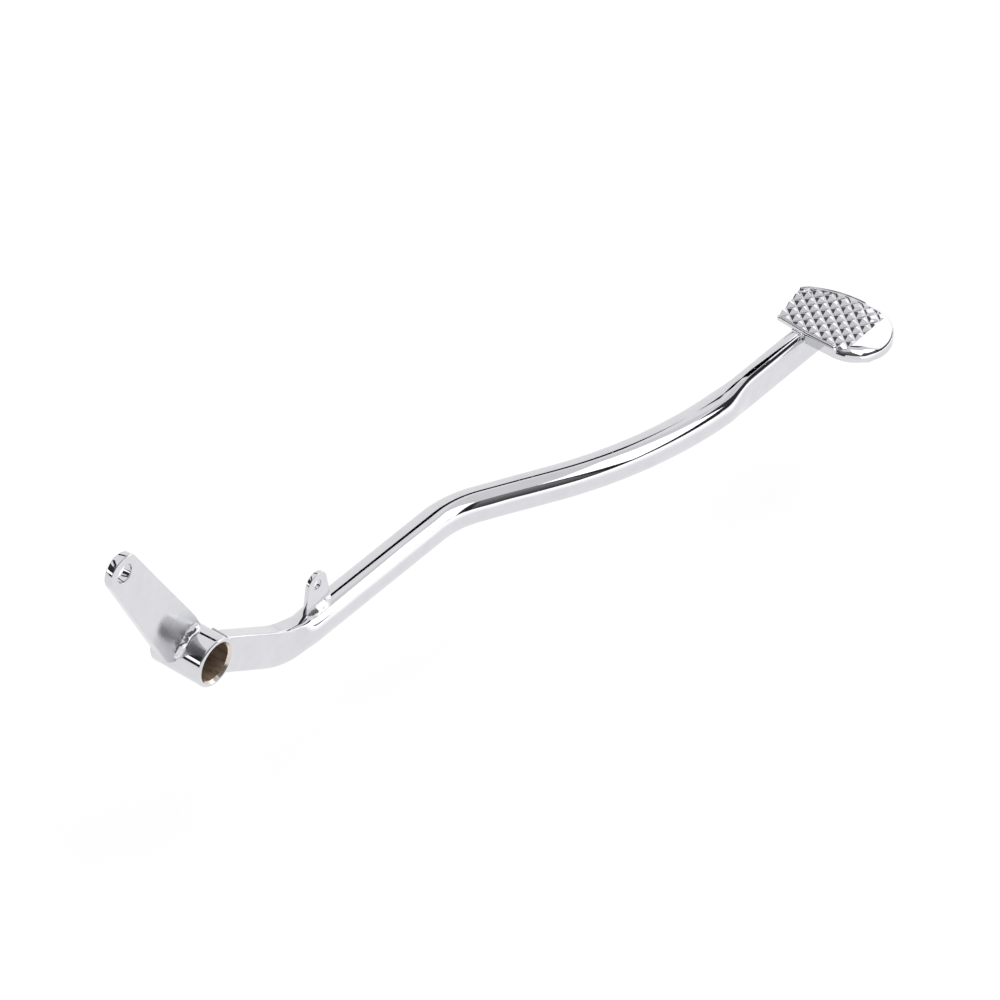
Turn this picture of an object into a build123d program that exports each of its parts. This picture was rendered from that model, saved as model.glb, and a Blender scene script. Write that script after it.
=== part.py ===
from build123d import *
import math
import os

# Rear brake pedal of a small motorcycle: a steel weldment, plated after welding.
# Frame: X forward, Y inboard, Z up, in millimetres. The origin is the middle of the pivot bore,
# whose axis is Y. "Outward" is -Y, the side on which the rider's foot is.

# Pivot sleeve
BORE_D = 17.0
SLEEVE_D = 22.0
SLEEVE_LENGTH = 26.0
SLEEVE_RIM_R = 1.0
BORE_CHAMFER = 1.0

# Brake rod lever: angles are measured in side view from forward towards up
LEVER_THICKNESS = 4.0
LEVER_SET_BACK = 12.4
LEVER_LENGTH = 79.8
LEVER_ANGLE = 121.0
LEVER_HOLE_D = 8.4
LEVER_END_R = 8.2
LEVER_FOOT_R = 16.2
LEVER_SHOULDER_ANGLE = 81.0
LEVER_HEEL_ANGLE = 168.0
LEVER_FRONT_SEAT_ANGLE = 62.0
LEVER_REAR_SEAT_ANGLE = 175.0
LEVER_EDGE_R = 0.6
LEVER_WELD_LEG = 2.4
LEVER_WELD_MARGIN = 2.0
LEVER_WELD_CROWN = 0.58

# Pedal arm: a round tube, pressed flat at both ends
TUBE_D = 15.0
TUBE_WALL = 2.0
PIVOT_PRESSED_THICKNESS = 8.5
PIVOT_PRESSED_CORNER_R = 1.6
PAD_PRESSED_THICKNESS = 8.5
PAD_PRESSED_CORNER_R = 3.0
LEAST_INNER_R = 0.5
ARM_REACH = 352.1977
ARM_SET_BACK = 6.25
ARM_RISE = 1.8
ARM_DROP_ANGLE = 31.6
ARM_DROP_RUN = 57.4
ARM_SWEEP_ANGLE = 27.7
ARM_SWEEP_RUN = 98.9
ARM_END_RUN = 107.0
BEND_1_R = 53.0
BEND_2_R = 49.0
BEND_3_R = 212.0
PIVOT_FADE = 15.0
PAD_FADE = 10.0
ARM_WELD_REACH = 1.6
ARM_WELD_FLARE = 9.0

# Switch tab
TAB_THICKNESS = 2.0
TAB_BASE = 16.0
TAB_FROM_BEND = 13.0
TAB_HOLE_D = 4.5
TAB_HOLE_SET = 7.2
TAB_HOLE_RISE = 12.2
TAB_TOP_R = 5.8
TAB_WELD_RISE = 3.5
TAB_WELD_SPREAD = 4.5
TAB_WELD_DROP = 3.0

# Foot pad
PAD_WIDTH = 32.6
PAD_LENGTH = 46.1
PAD_INBOARD = 11.3
PAD_SEAT = 19.6
PAD_SHEAR_ANGLE = 11.0
PAD_INNER_WIDTH = 22.1
PAD_REAR_TAPER = 1.25
PAD_NOSE = 3.0
PAD_FLARE_LENGTH = 24.0
PAD_SHEET = 2.0
PAD_WALL = 2.2
PAD_DEPTH = 5.6
PAD_ROLL = 10.8
PAD_ROLL_DROP = 2.2
PAD_EDGE_R = 1.2
PAD_END_EDGE_R = 3.2
PAD_SKIRT_GAP = 0.3
PAD_WELD_LEG = 2.0
PAD_REAR_WELD_LEG = 1.2
PAD_WELD_SET_IN = 5.5
TREAD_PITCH = 4.45
TREAD_DEPTH = 1.2
TREAD_LAND = 0.4
TREAD_MARGIN = 1.4
TREAD_ANGLE = 47.7
TREAD_LONG_PHASE = 0.63
TREAD_CROSS_PHASE = 0.46

# Places worked out from the sizes above
BORE_R = BORE_D / 2
SLEEVE_R = SLEEVE_D / 2
MOUTH = SLEEVE_LENGTH / 2
TUBE_R = TUBE_D / 2
LEVER_FACE = MOUTH - LEVER_SET_BACK
ARM_MID = MOUTH - ARM_SET_BACK

# A cut or a blank that has to pass a face goes this far beyond it
BEYOND = 5.0

# An edge that bulges less than this is drawn as a straight line
FLAT_ENOUGH = 1e-6

# Two places closer than this count as the same
NEAR = 0.1

UP = Vector(0, 0, 1)
INBOARD = Vector(0, 1, 0)
OUTWARD = Vector(0, -1, 0)


def polar(radius, angle):
    """Point of a side view, from its distance and angle about the pivot."""
    return (radius * math.cos(math.radians(angle)), radius * math.sin(math.radians(angle)))


def side_plane(outward):
    """Side-view plane (forward, up) at a distance outward of the sleeve's middle."""
    return Plane.XZ.offset(outward)


def tangent_angle(centre, radius, point, side):
    """Angle about centre at which a line from point touches the circle; side is +1 or -1."""
    across = point[0] - centre[0]
    along = point[1] - centre[1]
    half = math.acos(radius / math.hypot(across, along))
    return math.degrees(math.atan2(along, across) + side * half)


def on_circle(centre, radius, angle):
    """Point on a circle about centre."""
    across, up = polar(radius, angle)
    return (centre[0] + across, centre[1] + up)


def rounded_end(centre, radius, front, rear):
    """Outline from the front point round a circular end to the rear point, both lines tangent."""
    front_angle = tangent_angle(centre, radius, front, 1)
    rear_angle = tangent_angle(centre, radius, rear, -1) % 360
    start = on_circle(centre, radius, front_angle)
    middle = on_circle(centre, radius, (front_angle + rear_angle) / 2)
    end = on_circle(centre, radius, rear_angle)
    return [Line(front, start), ThreePointArc(start, middle, end), Line(end, rear)]


# Pivot sleeve

def sleeve_blank(radius):
    """Plain cylinder on the pivot axis, as long as the sleeve."""
    return extrude(side_plane(0) * Circle(radius), MOUTH, both=True)


def pivot_sleeve():
    """Short tube that turns on the pivot shaft, with rounded rims and a chamfered bore."""
    tube = sleeve_blank(SLEEVE_R) - sleeve_blank(BORE_R)
    rims = tube.edges().filter_by(GeomType.CIRCLE)
    outer = [rim for rim in rims if rim.radius > (BORE_R + SLEEVE_R) / 2]
    tube = fillet(outer, SLEEVE_RIM_R)
    rims = tube.edges().filter_by(GeomType.CIRCLE)
    inner = [rim for rim in rims if abs(rim.radius - BORE_R) < BORE_CHAMFER / 2]
    return chamfer(inner, BORE_CHAMFER)


# Brake rod lever

def lever_hole():
    """Centre of the brake rod's hole in side view."""
    return polar(LEVER_LENGTH, LEVER_ANGLE)


def brake_rod_lever():
    """Flat plate with a rounded, drilled end, cut to a saddle round the sleeve."""
    front_seat = polar(SLEEVE_R, LEVER_FRONT_SEAT_ANGLE)
    rear_seat = polar(SLEEVE_R, LEVER_REAR_SEAT_ANGLE)
    shoulder = polar(LEVER_FOOT_R, LEVER_SHOULDER_ANGLE)
    heel = polar(LEVER_FOOT_R, LEVER_HEEL_ANGLE)
    outline = rounded_end(lever_hole(), LEVER_END_R, shoulder, heel)
    outline += [Line(heel, rear_seat), Line(rear_seat, front_seat), Line(front_seat, shoulder)]
    face = make_face(outline) - Circle(SLEEVE_R) - Pos(*lever_hole()) * Circle(LEVER_HOLE_D / 2)
    plate = extrude(side_plane(LEVER_FACE) * face, -LEVER_THICKNESS)
    foot = math.hypot(*heel) + LEVER_EDGE_R
    rims = []
    for edge in plate.edges().filter_by(Axis.Y, reverse=True):
        middle = edge.position_at(0.5)
        is_hole = edge.geom_type == GeomType.CIRCLE and edge.radius < LEVER_END_R
        if math.hypot(middle.X, middle.Z) > foot and not is_hole:
            rims.append(edge)
    return fillet(rims, LEVER_EDGE_R)


def lever_weld(face, side):
    """Fillet weld in the corner between the sleeve and one face of the lever."""
    toe = SLEEVE_R + LEVER_WELD_LEG
    end = face + side * LEVER_WELD_LEG
    bulge = LEVER_WELD_LEG * LEVER_WELD_CROWN
    crown = (SLEEVE_R + bulge, -(face + side * bulge))
    corner = [Line((SLEEVE_R, -end), (SLEEVE_R, -face)), Line((SLEEVE_R, -face), (toe, -face))]
    section = make_face(corner + [ThreePointArc((toe, -face), crown, (SLEEVE_R, -end))])
    margin = math.degrees(LEVER_WELD_MARGIN / SLEEVE_R)
    first = LEVER_FRONT_SEAT_ANGLE + margin
    sweep = LEVER_REAR_SEAT_ANGLE - margin - first
    start = Plane.XY.rotated((0, -first, 0))
    return revolve(start * section, Axis((0, 0, 0), (0, -1, 0)), sweep)


# Pedal arm

TUBE_GIRTH = math.pi * TUBE_D


class Pressing:
    """Pressed section of the tube: pressing keeps the tube's girth, and that gives the height."""

    def __init__(self, thickness, corner):
        self.thickness = thickness
        self.corner = corner
        self.flat = thickness / 2 - corner
        self.side = (TUBE_GIRTH - 2 * math.pi * corner - 4 * self.flat) / 4
        self.height = 2 * (self.side + corner)


AT_PIVOT = Pressing(PIVOT_PRESSED_THICKNESS, PIVOT_PRESSED_CORNER_R)
AT_PAD = Pressing(PAD_PRESSED_THICKNESS, PAD_PRESSED_CORNER_R)


def with_opposites(points):
    """The points of one half of a section, followed by the points straight opposite them."""
    return points + [(-x, -y) for x, y in points]


def pressed_points(press, inset):
    """Ends and middles of the pressed section's eight edges, moved in by inset all round."""
    wide = press.thickness / 2 - inset
    tall = press.height / 2 - inset
    corner = max(press.corner - inset, LEAST_INNER_R)
    flat = wide - corner
    side = tall - corner
    bulge = corner * math.sqrt(0.5)
    ends = [(flat, tall), (-flat, tall), (-wide, side), (-wide, -side)]
    middles = [(0, tall), (-flat - bulge, side + bulge), (-wide, 0), (-flat - bulge, -side - bulge)]
    return with_opposites(ends), with_opposites(middles)


def round_points(press, inset):
    """Ends and middles of eight arcs of the round tube that answer to the pressed section's edges."""
    top = 360 * press.flat / TUBE_GIRTH
    side = 360 * press.side / TUBE_GIRTH
    corner = (90 + top + 180 - side) / 2
    ends = [polar(TUBE_R - inset, angle) for angle in (90 - top, 90 + top, 180 - side, 180 + side)]
    middles = [polar(TUBE_R - inset, angle) for angle in (90, corner, 180, 360 - corner)]
    return with_opposites(ends), with_opposites(middles)


def between(first, second, share):
    """Points at a share of the way from each of the first to each of the second."""
    return [Vector(*a) * (1 - share) + Vector(*b) * share for a, b in zip(first, second)]


def tube_face(press, inset, roundness):
    """Section of the arm, moved in by inset: pressed at roundness 0 and round at 1."""
    pressed_ends, pressed_middles = pressed_points(press, inset)
    round_ends, round_middles = round_points(press, inset)
    ends = between(pressed_ends, round_ends, roundness)
    middles = between(pressed_middles, round_middles, roundness)
    edges = []
    for start, middle, end in zip(ends, middles, ends[1:] + ends[:1]):
        is_flat = (middle - (start + end) / 2).length < FLAT_ENOUGH
        edges.append(Line(start, end) if is_flat else ThreePointArc(start, middle, end))
    return make_face(edges)


def run_on(station, length):
    """Station further along a straight run."""
    return station.offset(length)


def bend_axis(station, radius, about):
    """Axis of a bend that starts at station and turns round the direction about."""
    return Axis(station.origin + about.cross(station.z_dir) * radius, about)


def bend_on(station, radius, angle, about):
    """Station at the end of a bend."""
    axis = bend_axis(station, radius, about)
    arm = (station.origin - axis.position).rotate(Axis((0, 0, 0), about), angle)
    x_dir = station.x_dir.rotate(Axis((0, 0, 0), about), angle)
    z_dir = station.z_dir.rotate(Axis((0, 0, 0), about), angle)
    return Plane(origin=axis.position + arm, x_dir=x_dir, z_dir=z_dir)


def bend_tangent(radius, angle):
    """Distance from the corner of two runs to the start of the bend between them."""
    return radius * math.tan(math.radians(angle / 2))


def fade_angle(length, radius):
    """Angle that a fade of the given length takes up at the end of a bend."""
    return math.degrees(length / radius)


def arm_stations():
    """Places along the arm, each a plane across the tube; the level run takes up the reach that is left."""
    drop = math.radians(ARM_DROP_ANGLE)
    down = Vector(math.cos(drop), 0, -math.sin(drop))
    rise = Vector(math.sin(drop), 0, math.cos(drop)) * ARM_RISE
    first = bend_tangent(BEND_1_R, ARM_DROP_ANGLE)
    second = bend_tangent(BEND_2_R, ARM_SWEEP_ANGLE)
    third = bend_tangent(BEND_3_R, ARM_SWEEP_ANGLE)
    to_level = rise.X + ARM_DROP_RUN * down.X
    swept = ARM_SWEEP_RUN * math.cos(math.radians(ARM_SWEEP_ANGLE))
    level_run = ARM_REACH - to_level - swept - ARM_END_RUN
    pivot = Plane(origin=OUTWARD * ARM_MID + rise, x_dir=INBOARD, z_dir=down)
    bend_1 = run_on(pivot, ARM_DROP_RUN - first)
    level = bend_on(bend_1, BEND_1_R, ARM_DROP_ANGLE, OUTWARD)
    bend_2 = run_on(level, level_run - first - second)
    sweep_run = bend_on(bend_2, BEND_2_R, ARM_SWEEP_ANGLE, -UP)
    bend_3 = run_on(sweep_run, ARM_SWEEP_RUN - second - third)
    seat = bend_on(bend_3, BEND_3_R, ARM_SWEEP_ANGLE, UP)
    end = run_on(seat, ARM_END_RUN - third)
    return dict(pivot=pivot, bend_1=bend_1, level=level, bend_2=bend_2, sweep_run=sweep_run,
                bend_3=bend_3, seat=seat, end=end)


STATIONS = arm_stations()
ARM_Z = STATIONS["level"].origin.Z
ARM_TOP = ARM_Z + AT_PAD.height / 2
ARM_END = STATIONS["end"].origin.X
ARM_END_MID = -STATIONS["end"].origin.Y


def straight(face, start, end):
    """Straight stretch of the arm between two stations."""
    return extrude(start * face, (end.origin - start.origin).length)


def curved(face, start, radius, angle, about):
    """Stretch of the arm round a bend."""
    return revolve(start * face, bend_axis(start, radius, about), angle)


def fade(press, inset, start, radius, angles, about, roundness):
    """Stretch of a bend, between two angles, over which the tube's section changes."""
    shares = [0, 0.5, 1]
    faces = []
    for share in shares:
        angle = angles[0] + (angles[1] - angles[0]) * share
        face = tube_face(press, inset, roundness[0] + (roundness[1] - roundness[0]) * share)
        faces.append(bend_on(start, radius, angle, about) * face)
    return loft(faces)


def arm_form(inset, beyond=0):
    """Solid that fills the arm's form, moved in by inset; beyond lengthens its free end."""
    at = STATIONS
    rear = tube_face(AT_PIVOT, inset, 0)
    tube = Circle(TUBE_R - inset)
    front = tube_face(AT_PAD, inset, 0)
    full_1 = ARM_DROP_ANGLE - fade_angle(PIVOT_FADE, BEND_1_R)
    full_3 = ARM_SWEEP_ANGLE - fade_angle(PAD_FADE, BEND_3_R)
    form = straight(rear, at["pivot"], at["bend_1"])
    form += curved(rear, at["bend_1"], BEND_1_R, full_1, OUTWARD)
    form += fade(AT_PIVOT, inset, at["bend_1"], BEND_1_R, (full_1, ARM_DROP_ANGLE), OUTWARD, (0, 1))
    form += straight(tube, at["level"], at["bend_2"])
    form += curved(tube, at["bend_2"], BEND_2_R, ARM_SWEEP_ANGLE, -UP)
    form += straight(tube, at["sweep_run"], at["bend_3"])
    form += curved(tube, at["bend_3"], BEND_3_R, full_3, UP)
    form += fade(AT_PAD, inset, at["bend_3"], BEND_3_R, (full_3, ARM_SWEEP_ANGLE), UP, (1, 0))
    form += straight(front, at["seat"], run_on(at["end"], beyond))
    return form


ARM_OUTSIDE = arm_form(0)


def pedal_arm():
    """Bent tube: pressed, round, then pressed again, with its rear end cut to fit the sleeve."""
    return ARM_OUTSIDE - arm_form(TUBE_WALL, BEYOND) - sleeve_blank(SLEEVE_R)


def arm_weld():
    """Fillet weld all round the arm's end on the sleeve, kept off the sleeve's rounded rim."""
    reach = SLEEVE_R + ARM_WELD_REACH
    spread = reach * math.tan(math.radians(ARM_WELD_FLARE))
    pivot = STATIONS["pivot"]
    wide = tube_face(AT_PIVOT, -spread, 0)
    narrow = tube_face(AT_PIVOT, 0, 0)
    cone = loft([pivot * wide, run_on(pivot, reach) * narrow])
    barrel = extrude(side_plane(0) * Circle(2 * reach), MOUTH - SLEEVE_RIM_R, both=True)
    return (cone & barrel) - ARM_OUTSIDE - sleeve_blank(SLEEVE_R)


# Switch tab

TAB_REAR = STATIONS["level"].origin.X - bend_tangent(BEND_1_R, ARM_DROP_ANGLE) + TAB_FROM_BEND
TAB_FOOT = ARM_Z + TUBE_R
TAB_HOLE = (TAB_REAR + TAB_HOLE_SET, TAB_FOOT + TAB_HOLE_RISE)


def switch_tab():
    """Small ear with a hole, standing on top of the arm."""
    rear = (TAB_REAR, TAB_FOOT)
    front = (TAB_REAR + TAB_BASE, TAB_FOOT)
    outline = rounded_end(TAB_HOLE, TAB_TOP_R, front, rear)
    base = [(TAB_REAR, ARM_Z), (TAB_REAR + TAB_BASE, ARM_Z)]
    outline += [Line(rear, base[0]), Line(base[0], base[1]), Line(base[1], front)]
    face = make_face(outline) - Pos(*TAB_HOLE) * Circle(TAB_HOLE_D / 2)
    ear = extrude(side_plane(ARM_MID + TAB_THICKNESS / 2) * face, -TAB_THICKNESS)
    return ear - ARM_OUTSIDE


def tab_weld():
    """Fillet weld along the outward side of the tab's foot."""
    face = ARM_MID + TAB_THICKNESS / 2
    top = (-face, TAB_FOOT + TAB_WELD_RISE)
    toe = (-face - TAB_WELD_SPREAD, TAB_FOOT - TAB_WELD_DROP)
    root = (-face, TAB_FOOT - TAB_WELD_DROP)
    section = make_face(Polyline(top, toe, root, close=True))
    bead = extrude(Plane.YZ.offset(TAB_REAR) * section, TAB_BASE)
    return bead - ARM_OUTSIDE


# Foot pad

PAD_UNDER = ARM_TOP
PAD_TOP = PAD_UNDER + PAD_SHEET
PAD_REAR = ARM_END - PAD_SEAT
PAD_FRONT = PAD_REAR + PAD_WIDTH
PAD_INNER = ARM_END_MID - PAD_INBOARD
PAD_TIP = PAD_INNER + PAD_LENGTH
PAD_END_R = PAD_WIDTH / 2
END_START = PAD_TIP - PAD_END_R
ROLL_START = PAD_TIP - PAD_ROLL
ROLL_R = (PAD_ROLL ** 2 + PAD_ROLL_DROP ** 2) / (2 * PAD_ROLL_DROP)
SKIRT_START = ARM_END_MID + AT_PAD.thickness / 2 + PAD_SKIRT_GAP


def pad_plane(height):
    """Plan-view plane (forward, outward) at a height; it extrudes downwards."""
    return Plane(origin=(0, 0, height), x_dir=(1, 0, 0), z_dir=(0, 0, -1))


def pad_outline():
    """Plan of the pad: sheared inner end, flared front edge, straight rear edge, round outer end."""
    shear = math.radians(PAD_SHEAR_ANGLE)
    rear_inner = (PAD_REAR + PAD_REAR_TAPER, PAD_INNER)
    front_inner = (rear_inner[0] + PAD_INNER_WIDTH * math.cos(shear),
                   PAD_INNER - PAD_INNER_WIDTH * math.sin(shear))
    nose = (front_inner[0] + PAD_NOSE, front_inner[1] + PAD_NOSE)
    flare_end = (PAD_FRONT, nose[1] + PAD_FLARE_LENGTH)
    end_front = (PAD_FRONT, END_START)
    end_rear = (PAD_REAR, END_START)
    return make_face([
        Line(rear_inner, front_inner),
        Line(front_inner, nose),
        TangentArc(flare_end, nose, tangent=(0, -1)),
        Line(flare_end, end_front),
        ThreePointArc(end_front, (PAD_REAR + PAD_END_R, PAD_TIP), end_rear),
        Line(end_rear, (PAD_REAR, SKIRT_START)),
        Line((PAD_REAR, SKIRT_START), rear_inner),
    ])


def pad_roof(lowered):
    """Solid under the pad's top surface, lowered: flat, then rolled down to the outer end."""
    reach = PAD_TIP + BEYOND
    top = PAD_TOP - lowered
    radius = ROLL_R - lowered
    flat = Polyline((0, top), (-ROLL_START, top), (-ROLL_START, top - radius), (0, top - radius), close=True)
    hub = (-ROLL_START, top - radius)
    section = make_face(flat) + Pos(*hub) * Circle(radius)
    blank = extrude(Plane.YZ.offset(PAD_REAR - BEYOND) * section, PAD_WIDTH + 2 * BEYOND)
    keep = Pos(PAD_REAR, -reach / 2, top) * Box(2 * reach, reach, 2 * radius)
    return blank & keep


def tread_region():
    """Solid that holds the treaded part of the pad's top: all but a margin and the rolled end."""
    inside = offset(pad_outline(), -TREAD_MARGIN, kind=Kind.INTERSECTION)
    inside = inside + Pos(0, -2 * TREAD_MARGIN) * inside
    middle = PAD_REAR + PAD_END_R
    straight_part = Pos(middle, END_START - PAD_LENGTH) * Rectangle(2 * PAD_WIDTH, 2 * PAD_LENGTH)
    flat_end = Pos(middle, END_START) * Circle(PAD_END_R - PAD_END_EDGE_R)
    before_roll = Pos(middle, ROLL_START - PAD_LENGTH) * Rectangle(2 * PAD_WIDTH, 2 * PAD_LENGTH)
    plan = inside & (straight_part + flat_end) & before_roll
    return extrude(pad_plane(PAD_TOP + BEYOND) * plan, BEYOND + PAD_SHEET)


def tread_grooves():
    """Two crossing sets of V grooves that leave rows of pyramids."""
    half = (TREAD_PITCH - TREAD_LAND) / 2
    notch = make_face(Polyline((-half, 0), (half, 0), (0, TREAD_DEPTH), close=True))
    groove = extrude(Plane.YZ * notch, PAD_LENGTH, both=True)
    middle = Location(pad_plane(PAD_TOP)) * Pos(PAD_REAR + PAD_END_R, PAD_INNER + PAD_LENGTH / 2)
    count = math.ceil(PAD_LENGTH / TREAD_PITCH)
    region = tread_region()
    grooves = []
    for turn, phase in ((TREAD_ANGLE, TREAD_LONG_PHASE), (TREAD_ANGLE - 90, TREAD_CROSS_PHASE)):
        lanes = middle * Rot(0, 0, turn - PAD_SHEAR_ANGLE)
        for index in range(-count, count + 1):
            cut = (lanes * Pos(0, (index + phase) * TREAD_PITCH) * groove) & region
            if cut and cut.solids():
                grooves.append(cut)
    return grooves


def pad_rim(block):
    """Edges round the pad's top, without its sheared inner end and the lines across it."""
    rim = []
    for edge in block.edges().filter_by(Axis.Z, reverse=True):
        middle = edge.position_at(0.5)
        on_top = middle.Z > PAD_TOP - (PAD_ROLL_DROP + PAD_DEPTH) / 2
        across = any(abs(middle.Y + line) < NEAR for line in (ROLL_START, END_START))
        if on_top and -middle.Y > PAD_INNER and not across:
            rim.append(edge)
    return rim


def pad_block():
    """Pad before it is hollowed: a narrow rim beside the tread and a broad one round the outer end."""
    blank = extrude(pad_plane(PAD_TOP) * pad_outline(), PAD_DEPTH) & pad_roof(0)
    inner = split(blank, side_plane(END_START), keep=Keep.BOTTOM)
    outer = split(blank, side_plane(END_START), keep=Keep.TOP)
    return fillet(pad_rim(inner), PAD_EDGE_R) + fillet(pad_rim(outer), PAD_END_EDGE_R)


def foot_pad():
    """Pressed pad: treaded top, rolled outer end and a skirt that starts beside the arm."""
    inside = offset(pad_outline(), -PAD_WALL, kind=Kind.INTERSECTION)
    hollow = extrude(pad_plane(PAD_TOP) * inside, PAD_DEPTH + BEYOND) & pad_roof(PAD_SHEET)
    no_skirt = Pos(PAD_REAR + PAD_END_R, (SKIRT_START + BEYOND) / 2 - BEYOND)
    no_skirt = no_skirt * Rectangle(2 * PAD_WIDTH, SKIRT_START + BEYOND)
    pad = pad_block() - hollow - extrude(pad_plane(PAD_UNDER) * no_skirt, PAD_DEPTH)
    return pad - tread_grooves()


def pad_side_weld(side, start):
    """Fillet weld along one flank of the arm, under the pad; side is +1 outward, -1 inboard."""
    flank = ARM_END_MID + side * AT_PAD.thickness / 2
    drop = AT_PAD.corner + PAD_WELD_LEG
    points = [(flank + side * PAD_WELD_LEG, PAD_UNDER), (flank, PAD_UNDER - drop),
              (ARM_END_MID, PAD_UNDER - drop), (ARM_END_MID, PAD_UNDER)]
    section = make_face(Polyline([(-outward, height) for outward, height in points], close=True))
    return extrude(Plane.YZ.offset(start) * section, ARM_END - start) - ARM_OUTSIDE


def pad_rear_weld():
    """Weld across the arm's top, against the pad's rear edge."""
    rear = PAD_REAR - PAD_REAR_WELD_LEG
    front = PAD_REAR + PAD_REAR_TAPER
    crest = PAD_UNDER + PAD_SHEET - PAD_EDGE_R
    foot = PAD_UNDER - AT_PAD.corner
    section = make_face(Polyline((front, crest), (PAD_REAR, crest), (rear, PAD_UNDER), (rear, foot),
                                 (front, foot), close=True))
    half = AT_PAD.flat + AT_PAD.corner * math.sqrt(0.5)
    bead = extrude(side_plane(ARM_END_MID) * section, half, both=True)
    return bead - ARM_OUTSIDE - extrude(pad_plane(PAD_TOP) * pad_outline(), PAD_SHEET)


def save(name, shape):
    """Write one piece to its own file."""
    export_step(shape, os.path.join("parts", name + ".step"))


os.makedirs("parts", exist_ok=True)
save("pivot_sleeve", pivot_sleeve())
save("brake_rod_lever", brake_rod_lever())
save("lever_weld_outer", lever_weld(LEVER_FACE, 1))
save("lever_weld_inner", lever_weld(LEVER_FACE - LEVER_THICKNESS, -1))
save("pedal_arm", pedal_arm())
save("arm_weld", arm_weld())
save("switch_tab", switch_tab())
save("tab_weld", tab_weld())
save("foot_pad", foot_pad())
save("pad_weld_inboard", pad_side_weld(-1, PAD_REAR + PAD_WELD_SET_IN))
save("pad_weld_outward", pad_side_weld(1, PAD_REAR + PAD_WALL + PAD_SKIRT_GAP))
save("pad_weld_rear", pad_rear_weld())
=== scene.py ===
import math
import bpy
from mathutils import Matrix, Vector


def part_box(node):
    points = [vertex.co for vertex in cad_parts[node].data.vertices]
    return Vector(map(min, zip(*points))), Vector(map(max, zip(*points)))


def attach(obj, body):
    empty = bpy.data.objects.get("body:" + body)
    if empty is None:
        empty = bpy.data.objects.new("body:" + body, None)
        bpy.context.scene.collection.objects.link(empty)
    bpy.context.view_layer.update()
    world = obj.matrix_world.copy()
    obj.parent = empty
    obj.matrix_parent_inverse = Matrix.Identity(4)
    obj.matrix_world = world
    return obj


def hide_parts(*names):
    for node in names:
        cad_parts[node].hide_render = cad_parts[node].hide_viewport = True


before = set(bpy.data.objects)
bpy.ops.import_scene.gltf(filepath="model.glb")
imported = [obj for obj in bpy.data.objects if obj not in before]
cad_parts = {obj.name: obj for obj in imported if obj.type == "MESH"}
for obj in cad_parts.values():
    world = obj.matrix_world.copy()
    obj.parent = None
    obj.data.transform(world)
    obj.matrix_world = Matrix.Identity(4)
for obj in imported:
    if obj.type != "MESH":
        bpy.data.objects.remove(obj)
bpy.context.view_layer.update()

from types import SimpleNamespace

import bmesh
import bpy
import numpy as np
from bpy.props import FloatProperty, FloatVectorProperty, PointerProperty
from bpy.types import Operator, Panel, PropertyGroup
from mathutils import Matrix, Vector, noise

bl_info = {
    "name": "Brake pedal",
    "version": (1, 0, 0),
    "blender": (4, 5, 0),
    "location": "View3D > Sidebar > Pedal",
    "description": "Builds a chrome-plated rear brake pedal round its solid model",
    "category": "Object",
}

MM = 0.001
BODY = "root"

# Seed that keeps every piece's unevenness the same on each run
NOISE_SEED = Vector((3.7, 11.3, 5.9))


def linear(code):
    """Linear colour of an sRGB hex value."""
    shares = [int(code[i:i + 2], 16) / 255 for i in (0, 2, 4)]
    return tuple(c / 12.92 if c <= 0.04045 else ((c + 0.055) / 1.055) ** 2.4 for c in shares)


def number(name, description, value, **settings):
    """A number that a user can change."""
    return FloatProperty(name=name, description=description, default=value, **settings)


def size(name, description, millimetres):
    """A length that a user can change."""
    return number(name, description, millimetres * MM, unit="LENGTH", subtype="DISTANCE", precision=5)


def fraction(name, description, value):
    """A share of a whole that a user can change."""
    return number(name, description, value, min=0, max=1, subtype="FACTOR")


def turn(name, description, degrees):
    """An angle that a user can change."""
    return number(name, description, math.radians(degrees), unit="ROTATION", subtype="ANGLE")


def colour(name, description, code):
    """A colour that a user can change."""
    return FloatVectorProperty(name=name, description=description, default=linear(code), size=3,
                               subtype="COLOR", min=0, max=1)


class SleeveSizes(PropertyGroup):
    bore: size("Bore", "Diameter of the pivot bore", 17.0)
    outside: size("Outside", "Outside diameter of the sleeve", 22.0)
    length: size("Length", "Length of the sleeve", 26.0)
    rim: size("Rim radius", "Rounding of the sleeve's outer rims", 1.0)
    chamfer: size("Chamfer", "Width of the chamfer at each mouth", 1.0)
    ragged: size("Ragged edge", "Unevenness of the line where the plating ends in the bore", 0.6)


class LeverSizes(PropertyGroup):
    thickness: size("Thickness", "Thickness of the plate", 4.0)
    face: size("Face", "Distance of the outward face from the sleeve's middle", 0.6)
    length: size("Length", "Distance from the pivot to the hole", 79.8)
    angle: turn("Angle", "Direction of the hole, from forward towards up", 121)
    hole: size("Hole", "Diameter of the brake rod's hole", 8.4)
    end: size("End radius", "Radius of the rounded end", 8.197)
    foot: size("Foot radius", "Distance of the two lower corners from the pivot", 16.2)
    shoulder: turn("Shoulder", "Direction of the front corner", 81)
    heel: turn("Heel", "Direction of the rear corner", 168)
    front_seat: turn("Front seat", "Direction in which the plate's front meets the sleeve", 62)
    rear_seat: turn("Rear seat", "Direction in which the plate's rear meets the sleeve", 175)
    edge: size("Edge radius", "Rounding of the plate's edges", 0.6)
    hole_edge: size("Hole edge", "Rounding of the hole's edges", 0.35)


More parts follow.
